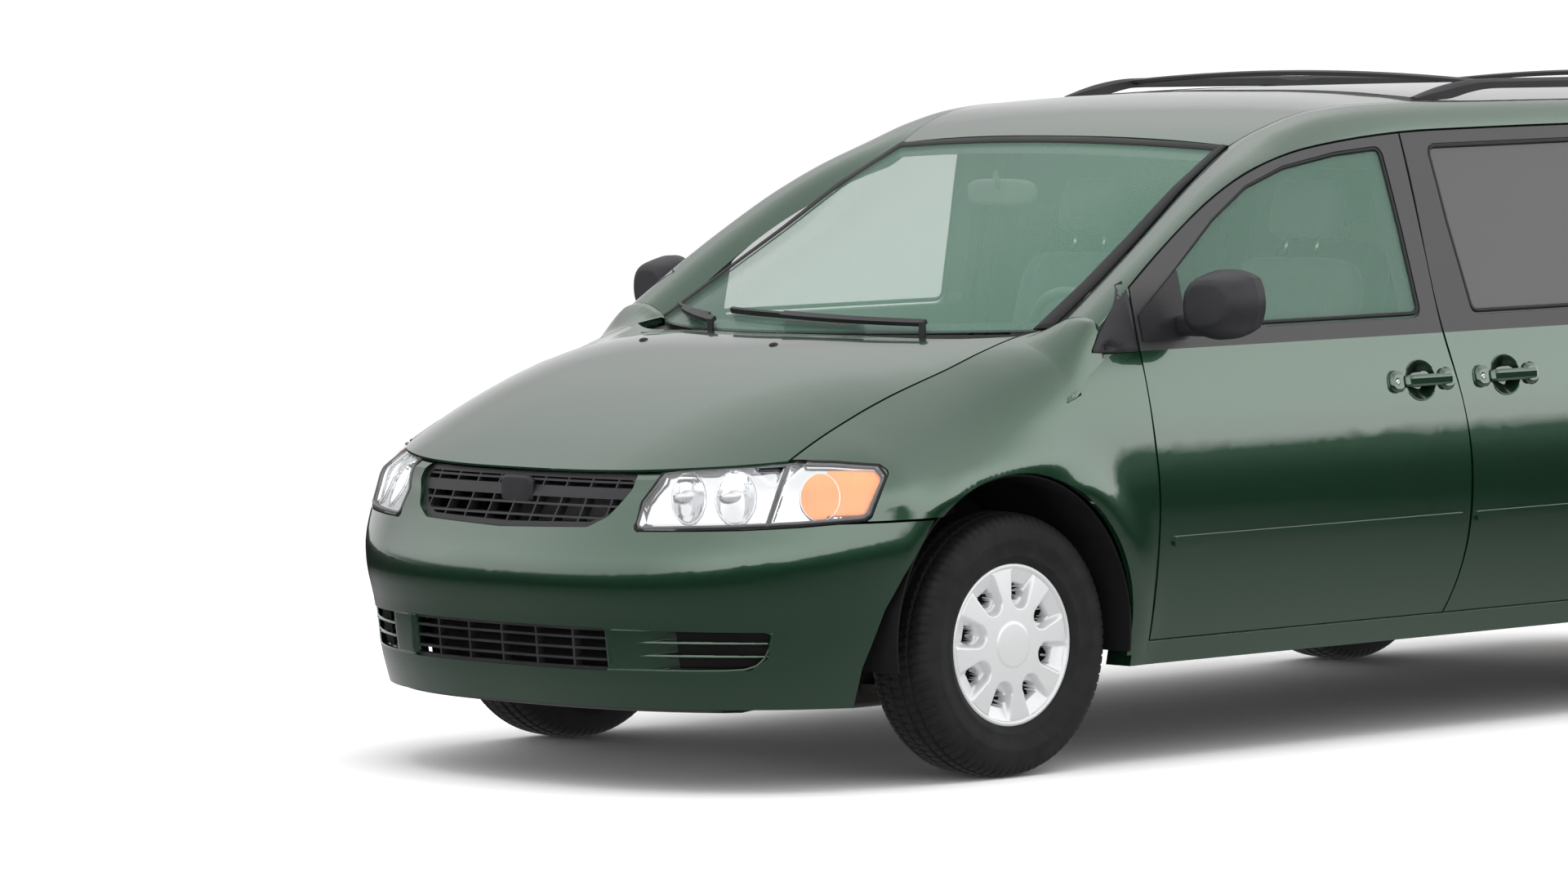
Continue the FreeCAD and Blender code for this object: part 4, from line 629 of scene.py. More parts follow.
WINDOWS = {
    "front_door": ("front_door_{}", "front_door_glass_left",
                   [(-580, 1062), (-580, 1205), (-760, 1334), (-900, 1412), (-1050, 1458), (-1250, 1488),
                    (-1424, 1500), (-1440, 1280), (-1452, 1062)]),
    "sliding_door": ("sliding_door_{}", "side_glass",
                     [(-1640, 1062), (-1606, 1300), (-1590, 1500), (-2390, 1504), (-2404, 1062)]),
    "quarter": ("body_side_{}", "side_glass", [(-2530, 1062), (-2520, 1500), (-3420, 1478), (-3560, 1062)]),
}
SEAL_INSET = 9
SEAL_CORNER = 24
SEAL_RADIUS = 0.0055
SEAL_LIFT = 0.0015


def shrunk(corners, by):
    """An outline moved in by about by on every side."""
    ds, zs = zip(*corners)
    mean_d, mean_z = sum(ds) / len(ds), sum(zs) / len(zs)
    narrow = 1 - 2 * by / (max(ds) - min(ds))
    low = 1 - 2 * by / (max(zs) - min(zs))
    return [(mean_d + (d - mean_d) * narrow, mean_z + (z - mean_z) * low) for d, z in corners]


def window_seals():
    for name, (carrier, glass, corners) in WINDOWS.items():
        pane = Skin(glass)
        places = [pane.side(d, z) for d, z in rounded_loop(shrunk(corners, SEAL_INSET), SEAL_CORNER)]
        path = [place + LEFT * SEAL_LIFT for place in places if place]
        pair(f"{name}_seal", tube(path, SEAL_RADIUS, closed=True, flat=0.6, up=LEFT), RUBBER, carrier, "trim")


window_seals()


# Foot of the windscreen pillar: the painted fairing over the wing and the charcoal triangle behind it

PILLAR_RISE = [(716, -1), (722, 2), (730, 10), (740, 18), (760, 31), (780, 42), (800, 50), (820, 55), (840, 60),
               (855, 63), (866, 62), (874, 52), (880, 37), (886, 17), (891, 2), (895, -3)]
FOOT_REAR, FOOT_FRONT = -303, -160
FOOT_INNER, FOOT_OUTER = 716, 895
FOOT_SPREAD = 14
WING_REAR = -279
WING_INNER, WING_OUTER = 719, 905


def pillar_foot():
    """The fairing in which the windscreen pillar runs out over the wing."""
    wing = Skin("fender_left")
    top, low = [], []
    for d in span(FOOT_REAR, FOOT_FRONT, 30):
        fade = eased(1 - share(d, FOOT_REAR, FOOT_FRONT))
        row = []
        for y in span(FOOT_INNER, FOOT_OUTER, 60):
            spread = y + (1 - fade) * FOOT_SPREAD * share(y, FOOT_INNER, FOOT_OUTER)
            base = wing.top(max(d, WING_REAR), min(max(spread, WING_INNER), WING_OUTER))
            row.append(Vector((at(d, 0, 0).x, spread / 1000, base.z + (between(PILLAR_RISE, y) * fade - 0.3) / 1000)))
        top.append(row)
        low.append([p + Vector((0, -0.002, -0.004)) for p in row])
    shape = closed_sheet(top, low)
    pair("pillar_foot", shape, M["paint"], "fender_{}", "paint")
    return shape


SAIL_TOP = [(-427, 1192), (-390, 1160), (-345, 1118), (-300, 1072), (-268, 1030)]
SAIL_LOW = [(-427, 1020), (-350, 1020), (-310, 1021), (-272, 1024)]
SAIL_FRONT, SAIL_REAR = -268, -427
SAIL_BACKUP_Y = 0.9


def corner_sail(foot):
    """The charcoal triangle at the foot of the windscreen pillar, ahead of the door."""
    skin = Skin("body_side_left", "fender_left", more=[foot])
    outer, inner = [], []
    for t in span(0, 1, 15):
        d = mix(SAIL_FRONT, SAIL_REAR, t)
        zs = [mix(between(SAIL_LOW, d), between(SAIL_TOP, d), s) for s in span(0, 1, 13)]
        places = [skin.side(d, z) for z in zs]
        known = [place.y for place in places if place]
        backup = known[-1] if known else SAIL_BACKUP_Y
        row = [Vector((at(d, 0, 0).x, place.y if place else backup, z / 1000)) for place, z in zip(places, zs)]
        rim = min(1.0, 6 * min(t, 1 - t))
        outer.append([p + LEFT * (0.0045 + 0.003 * math.sin(math.pi * s) * rim) for p, s in zip(row, span(0, 1, 13))])
        inner.append([p + LEFT * 0.0006 for p in row])
    pair("corner_sail", closed_sheet(outer, inner), M["trim"], "body_side_{}", "trim")


corner_sail(pillar_foot())


# Lamps: laid out by u, in millimetres across the diagonal view, and z

LAMP_LOW = [(-328, 770), (-286, 668), (-272, 657), (-120, 647), (20, 641), (283, 636)]
LAMP_TOP = [(-328, 772), (-303, 783), (-200, 792), (-105, 795), (20, 790), (150, 782), (212, 770), (266, 700),
            (283, 640)]
LAMP_OUTLINE = (LAMP_TOP[1:] + [(276, 632)] + LAMP_LOW[4:0:-1] + [(-322, 758)])
LAMP_MIDDLE = (-20, 716)
SPLIT = [(600, -24), (820, -100)]
HEAD_BOWLS = [(152, 711, 40.0, 60.0), (38, 712, 48.0, 63.0)]
AMBER_BOWL = (-165, 712, 47.0, 55.0)
HEAD_END, CORNER_END = 274, -317
AMBER_BOX_U = -182
AMBER_BOX_Z = (667, 773)
BOWL_DEPTH = 36.0
AMBER_BOWL_DEPTH = 20.0
HOUSING_DEPTH = 20.0
CORNER_DEPTH = 12.0
BULB_PROFILE = ((0, 0.017), (0.006, 0.017), (0.007, 0.011), (0.022, 0.0105), (0.030, 0.0075), (0.033, 0.002))
HEAD_AIM = Vector((0.94, -0.34, 0)).normalized()
DIAGONAL = math.sqrt(0.5)
LAMP_IN = Vector((-DIAGONAL, -DIAGONAL, 0))
LAMP_ALONG = Vector((DIAGONAL, -DIAGONAL, 0))
LAMP_SKIN = Skin("headlamps", "corner_lamps")


def lamp_cast(u, z):
    return LAMP_SKIN.hit(at(0, 0, z) + LAMP_ALONG * (u / 1000) - LAMP_IN * 1.4, LAMP_IN)


def lamp_point(u, z, depth=0.0):
    """The lamps' outer surface at u and z, moved in by depth, also where the solids leave a notch."""
    deeper = LAMP_IN * (depth / 1000)
    for aside in (0, 2.5, -2.5):
        place = lamp_cast(u + aside, z)
        if place:
            return place + deeper
    for step in range(1, 30):
        low, lower = lamp_cast(u, z - 3 * step), lamp_cast(u, z - 3 * step - 12)
        if low and lower:
            return low + (low - lower) * (3 * step / 12) + deeper
    for step in range(1, 20):
        for near in (u - 4 * step, u + 4 * step):
            place = lamp_cast(near, z)
            if place:
                return place + LAMP_ALONG * ((u - near) / 1000) + deeper
    return None


def split_u(z):
    """The seam between the head lamp and the corner lamp."""
    return between(SPLIT, z)


def lamp_span(u):
    return between(LAMP_LOW, u) + 4, between(LAMP_TOP, u) - 5


def amber_span(u):
    """The amber screen: a round end about the bulb, and a box with a clear border."""
    if u <= AMBER_BOX_U:
        return max(between(LAMP_LOW, u) + 11, AMBER_BOX_Z[0]), min(between(LAMP_TOP, u) - 13, AMBER_BOX_Z[1])
    middle_u, middle_z, half_u, half_z = AMBER_BOWL
    arc = half_z * math.sqrt(max(0.02, 1 - ((u - middle_u) / half_u) ** 2))
    return middle_z - arc, middle_z + arc


def crown_span(u):
    return between(LAMP_TOP, u) - 11, between(LAMP_TOP, u) - 4.5


def bowl_depth(u, z, bowl, depth):
    """How deep a bowl is at u and z, or None outside it."""
    away = math.hypot((u - bowl[0]) / bowl[2], (z - bowl[1]) / bowl[3])
    return depth * (1 - away * away) if away < 1 else None


def lamp_rim(u, z, inner, outer):
    """How far u and z are from the edge of a lamp between two ends."""
    return min(u - inner, outer - u, z - between(LAMP_LOW, u), between(LAMP_TOP, u) - z)


def head_depth(u, z):
    for bowl in HEAD_BOWLS:
        inside = bowl_depth(u, z, bowl, BOWL_DEPTH)
        if inside is not None:
            return HOUSING_DEPTH + inside
    return HOUSING_DEPTH - 3 - max(0.0, 12 - lamp_rim(u, z, split_u(z) + 6, HEAD_END - 2))


def corner_depth(u, z):
    inside = bowl_depth(u, z, AMBER_BOWL, AMBER_BOWL_DEPTH)
    if inside is not None:
        return CORNER_DEPTH + 2 + inside
    ribs = 0.9 * math.sin(u * 1.1) * math.sin(z * 1.1)
    return CORNER_DEPTH + ribs - max(0.0, 9 - lamp_rim(u, z, CORNER_END - 1, split_u(z) - 6))


def lamp_sheet(name, u_of, counts, depth_of, material, thickness=1.5, span_of=lamp_span):
    """A sheet inside the lamps: u_of(t, z) runs along it, and span_of(u) is its lower and upper edge."""
    outer, inner = [], []
    for t in span(0, 1, counts[0]):
        low, top = span_of(u_of(t, AMBER_BOWL[1]))
        places = [(u_of(t, z), z) for z in span(low, top, counts[1])]
        outer.append([lamp_point(u, z, depth_of(u, z)) for u, z in places])
        inner.append([lamp_point(u, z, depth_of(u, z) + thickness) for u, z in places])
    pair(name, closed_sheet(outer, inner), material, "headlamps", "lamp")


def lamp_edge(loop, shrink, radius, depth):
    """A tube along the lamps' outline, moved in by shrink."""
    middle_u, middle_z = LAMP_MIDDLE
    path = []
    for u, z in loop:
        nearer = 1 - shrink / max(40.0, math.hypot(u - middle_u, z - middle_z))
        lower = 1 - shrink / 76
        path.append(lamp_point(middle_u + (u - middle_u) * nearer, middle_z + (z - middle_z) * lower, depth))
    return tube([place for place in path if place], radius, closed=True)


def lamp_insides():
    lamp_sheet("head_reflector", lambda t, z: mix(split_u(z) + 7, HEAD_END, t), (84, 40), head_depth, CHROME)
    lamp_sheet("corner_reflector", lambda t, z: mix(CORNER_END, split_u(z) - 6, t), (70, 36), corner_depth, CHROME)
    lamp_sheet("amber_screen", lambda t, z: mix(-308, -119, t), (76, 26), lambda u, z: 7 + 0.5 * math.sin(u * 0.9),
               AMBER, 1.0, amber_span)
    lamp_sheet("lamp_crown", lambda t, z: mix(-112, 62, t), (50, 5), lambda u, z: 2.0, CROWN, 3.0, crown_span)
    rims, bulbs = [], []
    sideways = Vector((-DIAGONAL, DIAGONAL, 0))
    for bowl in HEAD_BOWLS + [AMBER_BOWL]:
        middle_u, middle_z, half_u, half_z = bowl
        rim_depth, bulb_depth, aim, size = (8, CORNER_DEPTH + 15, -LAMP_IN, 0.5) if bowl is AMBER_BOWL else \
            (HOUSING_DEPTH - 6, HOUSING_DEPTH + BOWL_DEPTH - 3, HEAD_AIM, 1.0)
        rims.append(tube([lamp_point(middle_u + half_u * math.cos(a), middle_z + half_z * math.sin(a), rim_depth)
                          for a in (2 * math.pi * k / 60 for k in range(60))], 0.0016, closed=True))
        base = lamp_point(middle_u, middle_z, bulb_depth)
        bulbs.append(stacked([ring(base + aim * (reach * size), sideways, UP, radius, 18)
                              for reach, radius in BULB_PROFILE], first=False))
    loop = rounded_loop(LAMP_OUTLINE, 10, 10)
    seam = [lamp_point(split_u(z) + 2, z, 0.5) for z in span(646, 788, 30)]
    pair("lamp_gasket", joined([lamp_edge(loop, 7.5, 0.0035, 0.0), tube(seam, 0.0032)]), GASKET, "headlamps", "trim")
    # A black tube along the gap round the lamps and along the seam between them: painted shadow of the gaps, in the
    # seal rubber's finish.
    pair("lamp_gap_painted_shadow", joined([lamp_edge(loop, 0.5, 0.0045, 3.0), tube(seam, 0.0015)]), RUBBER, "headlamps", "trim")
    pair("reflector_rims", joined(rims), BEZEL, "headlamps", "lamp")
    pair("lamp_bulbs", joined(bulbs), BULB, "headlamps", "lamp")


lamp_insides()


# Tyres: rounded sidewalls with rings, four grooves and the sipes between them

TYRE_RADIUS = 0.324
TREAD_EDGE_RADIUS = 0.3238
TREAD_BLOCKS = 84
BLOCK_STEPS = 6
GROOVES = (0.019, 0.054)
GROOVE_HALF, GROOVE_DEPTH = 0.0046, 0.0075
SHOULDER_Y, SHOULDER_RADIUS, SHOULDER_SIPE = 0.064, 0.3030, 0.0045
SIPE_Y, SIPE_RADIUS, SIPE_DEPTH = 0.025, 0.3, 0.0035
SIDEWALL = [(0.0805, 0.1962), (0.0885, 0.203), (0.0925, 0.212), (0.0950, 0.215), (0.0952, 0.219), (0.0950, 0.223),
            (0.0985, 0.238), (0.1015, 0.254), (0.1022, 0.262), (0.1008, 0.266), (0.1003, 0.274), (0.0985, 0.284),
            (0.0955, 0.294), (0.0905, 0.3040), (0.0865, 0.3095), (0.0835, 0.3125), (0.0790, 0.3155),
            (0.0720, 0.3185), (0.0650, 0.3203)]
TREAD_YS = (0.0592, 0.0588, 0.0500, 0.0494, 0.0420, 0.0330, 0.0242, 0.0236, 0.0146, 0.0140, 0.006)


def tread_depth(y, r, phase):
    """The depth of a groove or sipe at a width and a radius, by the step within its block."""
    if any(abs(abs(y) - groove) < GROOVE_HALF for groove in GROOVES):
        return GROOVE_DEPTH
    if abs(y) > SHOULDER_Y and r > SHOULDER_RADIUS:
        return SHOULDER_SIPE if phase == 0 else 0.0
    sipe = 2 if abs(y) > SIPE_Y else 4
    return SIPE_DEPTH if r > SIPE_RADIUS and phase == sipe else 0.0


def tyre_shape():
    half = SIDEWALL + [(y, TREAD_EDGE_RADIUS - 0.75 * y * y) for y in TREAD_YS]
    profile = [(-y, r) for y, r in half] + [(y, r) for y, r in reversed(half)]
    segments = TREAD_BLOCKS * BLOCK_STEPS
    rings = []
    for k in range(segments):
        a = 2 * math.pi * k / segments
        cut = [(y, min(r, TYRE_RADIUS) - tread_depth(y, r, k % BLOCK_STEPS)) for y, r in profile]
        rings.append([Vector((r * math.sin(a), y, r * math.cos(a))) for y, r in cut])
    points, faces = stacked(rings, loop=True)
    return points, turned_out(faces)


def wheel_middle(place):
    low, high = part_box(f"tyre_{place}")
    return (Vector(low) + Vector(high)) / 2


def tyres():
    points, faces = tyre_shape()
    for place in WINDOW_TURN:
        middle = wheel_middle(place)
        made = piece(f"tread_tyre_{place}", ([p + middle for p in points], faces), M["tyre"], f"tyre_{place}", "tyre")
        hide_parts(f"tyre_{place}")


# Wheels: the ribbed cover with its eight openings, shown as pockets with near-black painted shade on their floors, and
# the rim behind it, in millimetres

WINDOW_TURN = {"front_left": -14.0, "front_right": 9.0, "rear_left": 4.0, "rear_right": -20.0}
WINDOW_SLICE = math.radians(45)
CAP_RADIUS = 56
CROWN_HEIGHT = 80
POCKET_AT, POCKET_RADIUS, POCKET_END = 120, 31, 187
WINDOW_AT, WINDOW_HALF, WINDOW_LENGTH = 134, 22.5, 19.0
WINDOW_DEPTH = 32
LIP_AT, LIP_HALF = 192, 7.5
COVER_RADII = ([0, 12, 26, 40, 50, 52.5, 54, 56, 60] + span(66, 84, 5) + span(87, 158, 36) + span(161, 182, 10)
               + [183.5, 185.5, 187, 188.5, 190, 192, 194, 196, 198, 199])
BARREL = [(199, 76), (195.8, 76), (195.8, 70), (188, 62), (176, 20), (176, -40), (188, -60), (193, -78), (195.8, -82),
          (190, -84), (184, -70), (168, -40), (166, 18), (150, 30), (60, 34), (40, 30), (40, 20)]
WHEEL_COLUMNS = 360


def cover_height(r, angle):
    """The cover's height outward of the wheel's middle, and whether the place is in a window, whose floor takes the
    near-black painted shade.
    """
    crown = CROWN_HEIGHT + 8 * (1 - (r / 186) ** 2)
    if r < CAP_RADIUS:
        edge = min(1.0, (CAP_RADIUS - r) / 3.0)
        return crown + 2.6 * edge * (1 - 0.35 * (r / 53) ** 2) - 1.2 * (1 - edge), False
    turn = (angle + WINDOW_SLICE / 2) % WINDOW_SLICE - WINDOW_SLICE / 2
    along, across = r * math.cos(turn), abs(r * math.sin(turn))
    if along < POCKET_AT:
        reach = POCKET_RADIUS - math.hypot(along - POCKET_AT, across)
    else:
        reach = POCKET_RADIUS + (along - POCKET_AT) * 0.17 - across
    height = crown
    dark = False
    if r < POCKET_END and reach > 0:
        floor = 62 + 15 * share(along, 140, 182) ** 1.4
        height = mix(crown, floor, eased(min(1.0, reach / 11.0)))
        past = along - WINDOW_AT
        window = 1 - math.hypot(past / 23.5, across / WINDOW_HALF) if past < 0 else \
            min(1 - across / (WINDOW_HALF - 0.12 * past), 1 - past / WINDOW_LENGTH)
        if window > 0:
            height -= WINDOW_DEPTH * min(1.0, window / 0.12)
            dark = window > 0.06
    if r > POCKET_END:
        height = 79 + 5 * math.sqrt(max(0.0, 1 - ((r - LIP_AT) / LIP_HALF) ** 2))
    elif r > 185 and reach <= 0:
        height = min(height, 78.0)
    return height, dark


def wheel_shape(turn):
    """The cover and the rim as one skin, and which of its faces are dark: the window floors and the rim behind, in
    near-black that is partly painted shade.
    """
    rows = [(r, None) for r in COVER_RADII] + BARREL
    points, dark = [], []
    for r, y in rows:
        for k in range(WHEEL_COLUMNS):
            a = 2 * math.pi * k / WHEEL_COLUMNS
            height, inside = cover_height(r, a - turn) if y is None else (y, True)
            points.append(Vector((r * math.sin(a) / 1000, height / 1000, r * math.cos(a) / 1000)))
            dark.append(inside)
    faces = []
    for i in range(len(rows) - 1):
        for k in range(WHEEL_COLUMNS):
            a = i * WHEEL_COLUMNS + k
            b = i * WHEEL_COLUMNS + (k + 1) % WHEEL_COLUMNS
            following = (b + WHEEL_COLUMNS, a + WHEEL_COLUMNS)
            faces.append((a, b, *following) if i else (0, *following))
    return points, faces, [int(sum(dark[c] for c in face) > len(face) / 2) for face in faces]


def wheels():
    for place, turn in WINDOW_TURN.items():
        middle = wheel_middle(place)
        side = 1 if place.endswith("left") else -1
        points, faces, finish = wheel_shape(math.radians(turn))
        points = [middle + Vector((p.x, side * p.y, p.z)) for p in points]
        made = piece(f"wheel_{place}_cover", (points, faces if side == 1 else turned_out(faces)), M["wheel_cover"],
                     f"wheel_{place}", "wheel_cover")
        # Second finish: near-black painted shade on the window floors and the rim.
        made.data.materials.append(BLACK_AND_PAINTED_SHADE)
        made.data.polygons.foreach_set("material_index", finish)
        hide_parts(f"wheel_{place}")


tyres()
wheels()


# Nose: the bare plate on the grille, the panels beside the intake with their fins, and the tray under it

def relief(name, place_of, across, up, height_of, material, node, slot, back=0.0, outward=LEFT, make=pair):
    """A raised shape on a surface: place_of(a, b) is the surface and height_of(a, b) its rise, or None."""
    front, rear, keep = [], [], []
    for a in across:
        places = [place_of(a, b) for b in up]
        rises = [height_of(a, b) for b in up]
        keep.append([place is not None and rise is not None for place, rise in zip(places, rises)])
        places = [place or Vector() for place in places]
        front.append([place + outward * ((rise or 0.0) / 1000) for place, rise in zip(places, rises)])
        rear.append([place + outward * (back / 1000) for place in places])
    make(name, closed_sheet(front, rear, keep), material, node, slot)


def soft_box(a, b, half_a, half_b, power, rim):
    """1 in the middle of a rounded rectangle, falling to 0 at its edge, and None outside."""
    away = (abs(a / half_a) ** power + abs(b / half_b) ** power) ** (1 / power)
    return None if away > 1 else min(1.0, (1 - away) / rim) ** 0.5


PLATE_Z = 716
PLATE_HALF = (61, 36)


def grille_plate():
    """The bare plate in the middle of the grille."""
    skin = Skin("upper_grille")
    half_y, half_z = PLATE_HALF

    def place_of(y, z):
        return Vector((skin.front(y if abs(y) > 3 else 3.5, PLATE_Z).x, y / 1000, z / 1000))

    def rise(y, z):
        shape = soft_box(y, z - PLATE_Z, half_y, half_z, 5.0, 0.16)
        return None if shape is None else 3 + 8 * shape - 2 * (y / half_y) ** 2

    relief("grille_plate", place_of, span(-half_y, half_y, 49), span(PLATE_Z - half_z, PLATE_Z + half_z, 33), rise,
           M["trim"], "upper_grille", "trim", -4, FORWARD, piece)


INTAKE_LOW, INTAKE_HIGH = 286, 408
FOG_OUT = Vector((0.93, 0.37, 0)).normalized()
FOG_LIP = [(360, 297.5), (420, 298), (500, 298.5), (580, 299), (640, 300), (680, 303), (702, 312), (718, 330),
           (728, 352), (735, 380), (737, 391)]
FINS = (("upper", 365), ("lower", 333))
FIN_INNER, FIN_HALF = 448, 3.1


def nose_surface():
    """The bumper's outer surface as a function of width and height, also over its openings."""
    skin = Skin("front_bumper")
    edges = {}

    def point(y, z):
        key = (round(y), round(z))
        if key not in edges:
            edges[key] = skin.front(y, INTAKE_LOW).x, skin.front(y, INTAKE_HIGH).x
        t = (z - INTAKE_LOW) / (INTAKE_HIGH - INTAKE_LOW)
        return Vector((mix(*edges[key], t) + 0.0048 * t * (1 - t), y / 1000, z / 1000))

    return point


def fog_panels():
    """The painted panel between the intake and each outer opening, its fins, and the lip under them."""
    surface = nose_surface()
    relief("intake_panel", surface, span(362, 549, 48), span(298.5, 397, 26),
           lambda y, z: -1.5 - 30 * eased(share(y, 452, 548)), M["paint"], "front_bumper", "paint", -38, FOG_OUT)
    # A near-black sheet in each outer opening behind the fins: the black recess there, darkened further as painted
    # shade.
    relief("fog_backing", surface, span(540, 737, 40), span(298, 396, 16), lambda y, z: -18 if z > 300 else None,
           BLACK_AND_PAINTED_SHADE, "lower_grille", "trim", -20, FOG_OUT)
    for label, level in FINS:
        def rise(y, z, level=level):
            half = max(0.5, FIN_HALF * min(1.0, (y - FIN_INNER) / 26))
            if abs(z - level - 2.0 * math.sin((y - FIN_INNER) / 282 * math.pi)) > half:
                return None
            return -1.2 - 1.4 * abs(z - level) / FIN_HALF - 6 * max(0.0, (y - 640) / 90) ** 2

        relief(f"fog_fin_{label}", surface, span(450, 728, 70), span(level - 3.6, level + 5.6, 15), rise,
               M["paint"], "front_bumper", "paint", -17, FOG_OUT)
    ys, zs = ([(i, corner[part]) for i, corner in enumerate(FOG_LIP)] for part in (0, 1))
    path = [surface(between(ys, t), between(zs, t)) + Vector((-0.0022, -0.0008, 0))
            for t in span(0, len(FOG_LIP) - 1, 60)]
    pair("fog_lip", tube(path, 0.0032), M["paint"], "front_bumper", "paint")


TRAY_HALF = 600
TRAY_SECTION = ((14, 214), (20, 202), (34, 194), (90, 190), (160, 196))


def intake_backing():
    """The near-black sheet behind the intake's bars, standing for the radiator and painted shade behind them, and the
    black tray under the bumper.
    """
    relief("intake_backing", nose_surface(), span(-364, 364, 41), span(291, 401, 9), lambda y, z: -58, BLACK_AND_PAINTED_SHADE,
           "lower_grille", "trim", -61, FORWARD, piece)
    skin = Skin("front_bumper")
    rows = []
    for y in span(-TRAY_HALF, TRAY_HALF, 47):
        edge = skin.front(y if abs(y) > 2 else 2.5, 212)
        bow = 1 + 0.4 * (abs(y) / 800) ** 4
        rows.append([Vector((edge.x - inset / 1000 * bow, y / 1000 * (1 - inset / 9000), z / 1000))
                     for inset, z in TRAY_SECTION])
    under = [[p + Vector((-0.002, 0, 0.004)) for p in row] for row in rows]
    piece("under_tray", closed_sheet(rows, under), M["trim"], "front_bumper", "trim")


grille_plate()
fog_panels()
intake_backing()


# Door handles in their finger cups, laid out by dx and dz from each handle's middle

HANDLE_Z = 905.0
HANDLES = (("front_door", -1409.0), ("sliding_door", -1728.0))
CUP_RADIUS = 57
CUP_FLATTEN = 0.9
END_AT, END_HALF, END_POWER = 92, (27, 28), 3.2
LOCK_AT = 98
GRIP_HALF = (74, 15.5)
LOCK_PROFILE = ((6.5, -0.004), (6.5, 0.0006), (5.0, 0.0014), (2.0, 0.0010), (0.8, 0.0))
RIM_RADIUS = 0.0016


def cup_rise(dx, dz):
    r = math.hypot(dx, dz / CUP_FLATTEN)
    return None if r > CUP_RADIUS else 0.5 + 1.5 * (r / CUP_RADIUS) ** 6


def end_rise(dx, dz):
    """The plates at both ends of the grip, each with a ring round its lock."""
    side = math.copysign(1, dx) if dx else -1
    shape = soft_box(dx - side * END_AT, dz, *END_HALF, END_POWER, 0.3)
    if shape is None:
        return None
    return 2 + 12 * shape - (2.0 if 5.5 < math.hypot(dx - side * LOCK_AT, dz) < 7.5 else 0)


def grip_rise(dx, dz):
    shape = soft_box(dx, dz - 1, *GRIP_HALF, 6.0, 0.4)
    return None if shape is None else 17 + 7.5 * shape


def handles():
    for name, middle in HANDLES:
        skin = Skin(f"{name}_left")
        node = name + "_{}"

        def base(dx, dz, skin=skin, middle=middle):
            """The door's surface, as if there were no cup in it."""
            over_cup = abs(dz) < 34 and abs(dx) < 100
            probe = (36 if dz >= 0 else -36) if over_cup else dz
            if not skin.side(middle + dx, HANDLE_Z + probe):
                return None
            low, high = (skin.side(middle + dx, HANDLE_Z + reach) for reach in (-40, 40))
            return Vector((at(middle + dx, 0, 0).x, mix(low.y, high.y, (dz + 40) / 80), (HANDLE_Z + dz) / 1000))

        wide, tall = span(-118, 118, 119), span(-53, 53, 61)
        # The cup is a shallow disc whose paint carries painted shade for its hollow.
        relief(f"{name}_cup", base, wide[29:90], tall, cup_rise, CUP_PAINT_WITH_PAINTED_SHADE, node, "paint", 0.2)
        relief(f"{name}_handle_plates", base, wide, tall[13:48], end_rise, M["paint"], node, "paint", 0.3)
        relief(f"{name}_handle", base, wide[20:99], span(-16, 18, 29), grip_rise, M["paint"], node, "paint", 9)
        angles = [2 * math.pi * k / 72 for k in range(72)]
        spots = [(CUP_RADIUS * math.cos(a), CUP_RADIUS * CUP_FLATTEN * math.sin(a)) for a in angles]
        paths = [[base(dx, dz) for dx, dz in spots if half * dz >= 29] for half in (1, -1)]
        for side in (1, -1):
            turns = [math.pi / 2 * k / 14 for k in range(-14, 15)]
            paths.append([base(side * (END_AT + END_HALF[0] * abs(math.cos(a)) ** (2 / END_POWER)),
                               END_HALF[1] * math.copysign(abs(math.sin(a)) ** (2 / END_POWER), a)) for a in turns])
        rims = [tube([p + LEFT * 0.001 for p in path if p], RIM_RADIUS) for path in paths]
        locks = []
        for side in (1, -1):
            centre = base(side * LOCK_AT, 0) + LEFT * 0.0145
            locks.append(stacked([ring(centre + LEFT * lift, FORWARD, UP, radius / 1000, 20)
                                  for radius, lift in LOCK_PROFILE], first=False))
        points, faces = joined(locks)
        pair(f"{name}_handle_rim", joined(rims), M["paint"], node, "paint")
        faces = [face if len(face) == 20 else face[::-1] for face in faces]
        pair(f"{name}_lock", (points, faces), BEZEL, node, "wheel_cover")


handles()


NOZZLE_D, NOZZLE_Y = 199, 241
NOZZLE_PROFILE = ((11, -1.0), (10.5, 1.5), (8, 4.0), (4, 5.4), (0.5, 5.8))


def washer_nozzles():
    """The two washer nozzles on the hood."""
    skin = Skin("hood")
    shapes = []
    for y in (NOZZLE_Y, -NOZZLE_Y):
        base = skin.top(NOZZLE_D, y)
        shapes.append(stacked([ring(base + UP * (lift / 1000), Vector((1.15, 0, -0.1)), LEFT, radius / 1000, 20)
                               for radius, lift in NOZZLE_PROFILE], first=False))
    piece("washer_nozzles", joined(shapes), RUBBER, "hood", "trim")


washer_nozzles()


# Seats: each pad is a rounded form, remeshed, filled by a cloth simulation and then sewn

VOXEL, REST_VOXEL = 0.020, 0.012
SIM_FRAMES = 20
PRESSURE = 4.0
SWELL = 12.0
BOLSTER_DISH = 0.2
BOLSTER_START, BOLSTER_RAMP = 0.55, 0.22
FORM_CUTS = 22
PADS = {"cushion": (398, 508, 130), "back": (656, 496, 108), "rest": (178, 268, 82)}
CHANNEL_DEPTH, CHANNEL_WIDTH = 0.006, 0.0105
PIPING_DEPTH, PIPING_WIDTH = 0.003, 0.006
BOLSTER_SEAM = 0.62
CROSS_SEAMS = (0.34, -0.22)


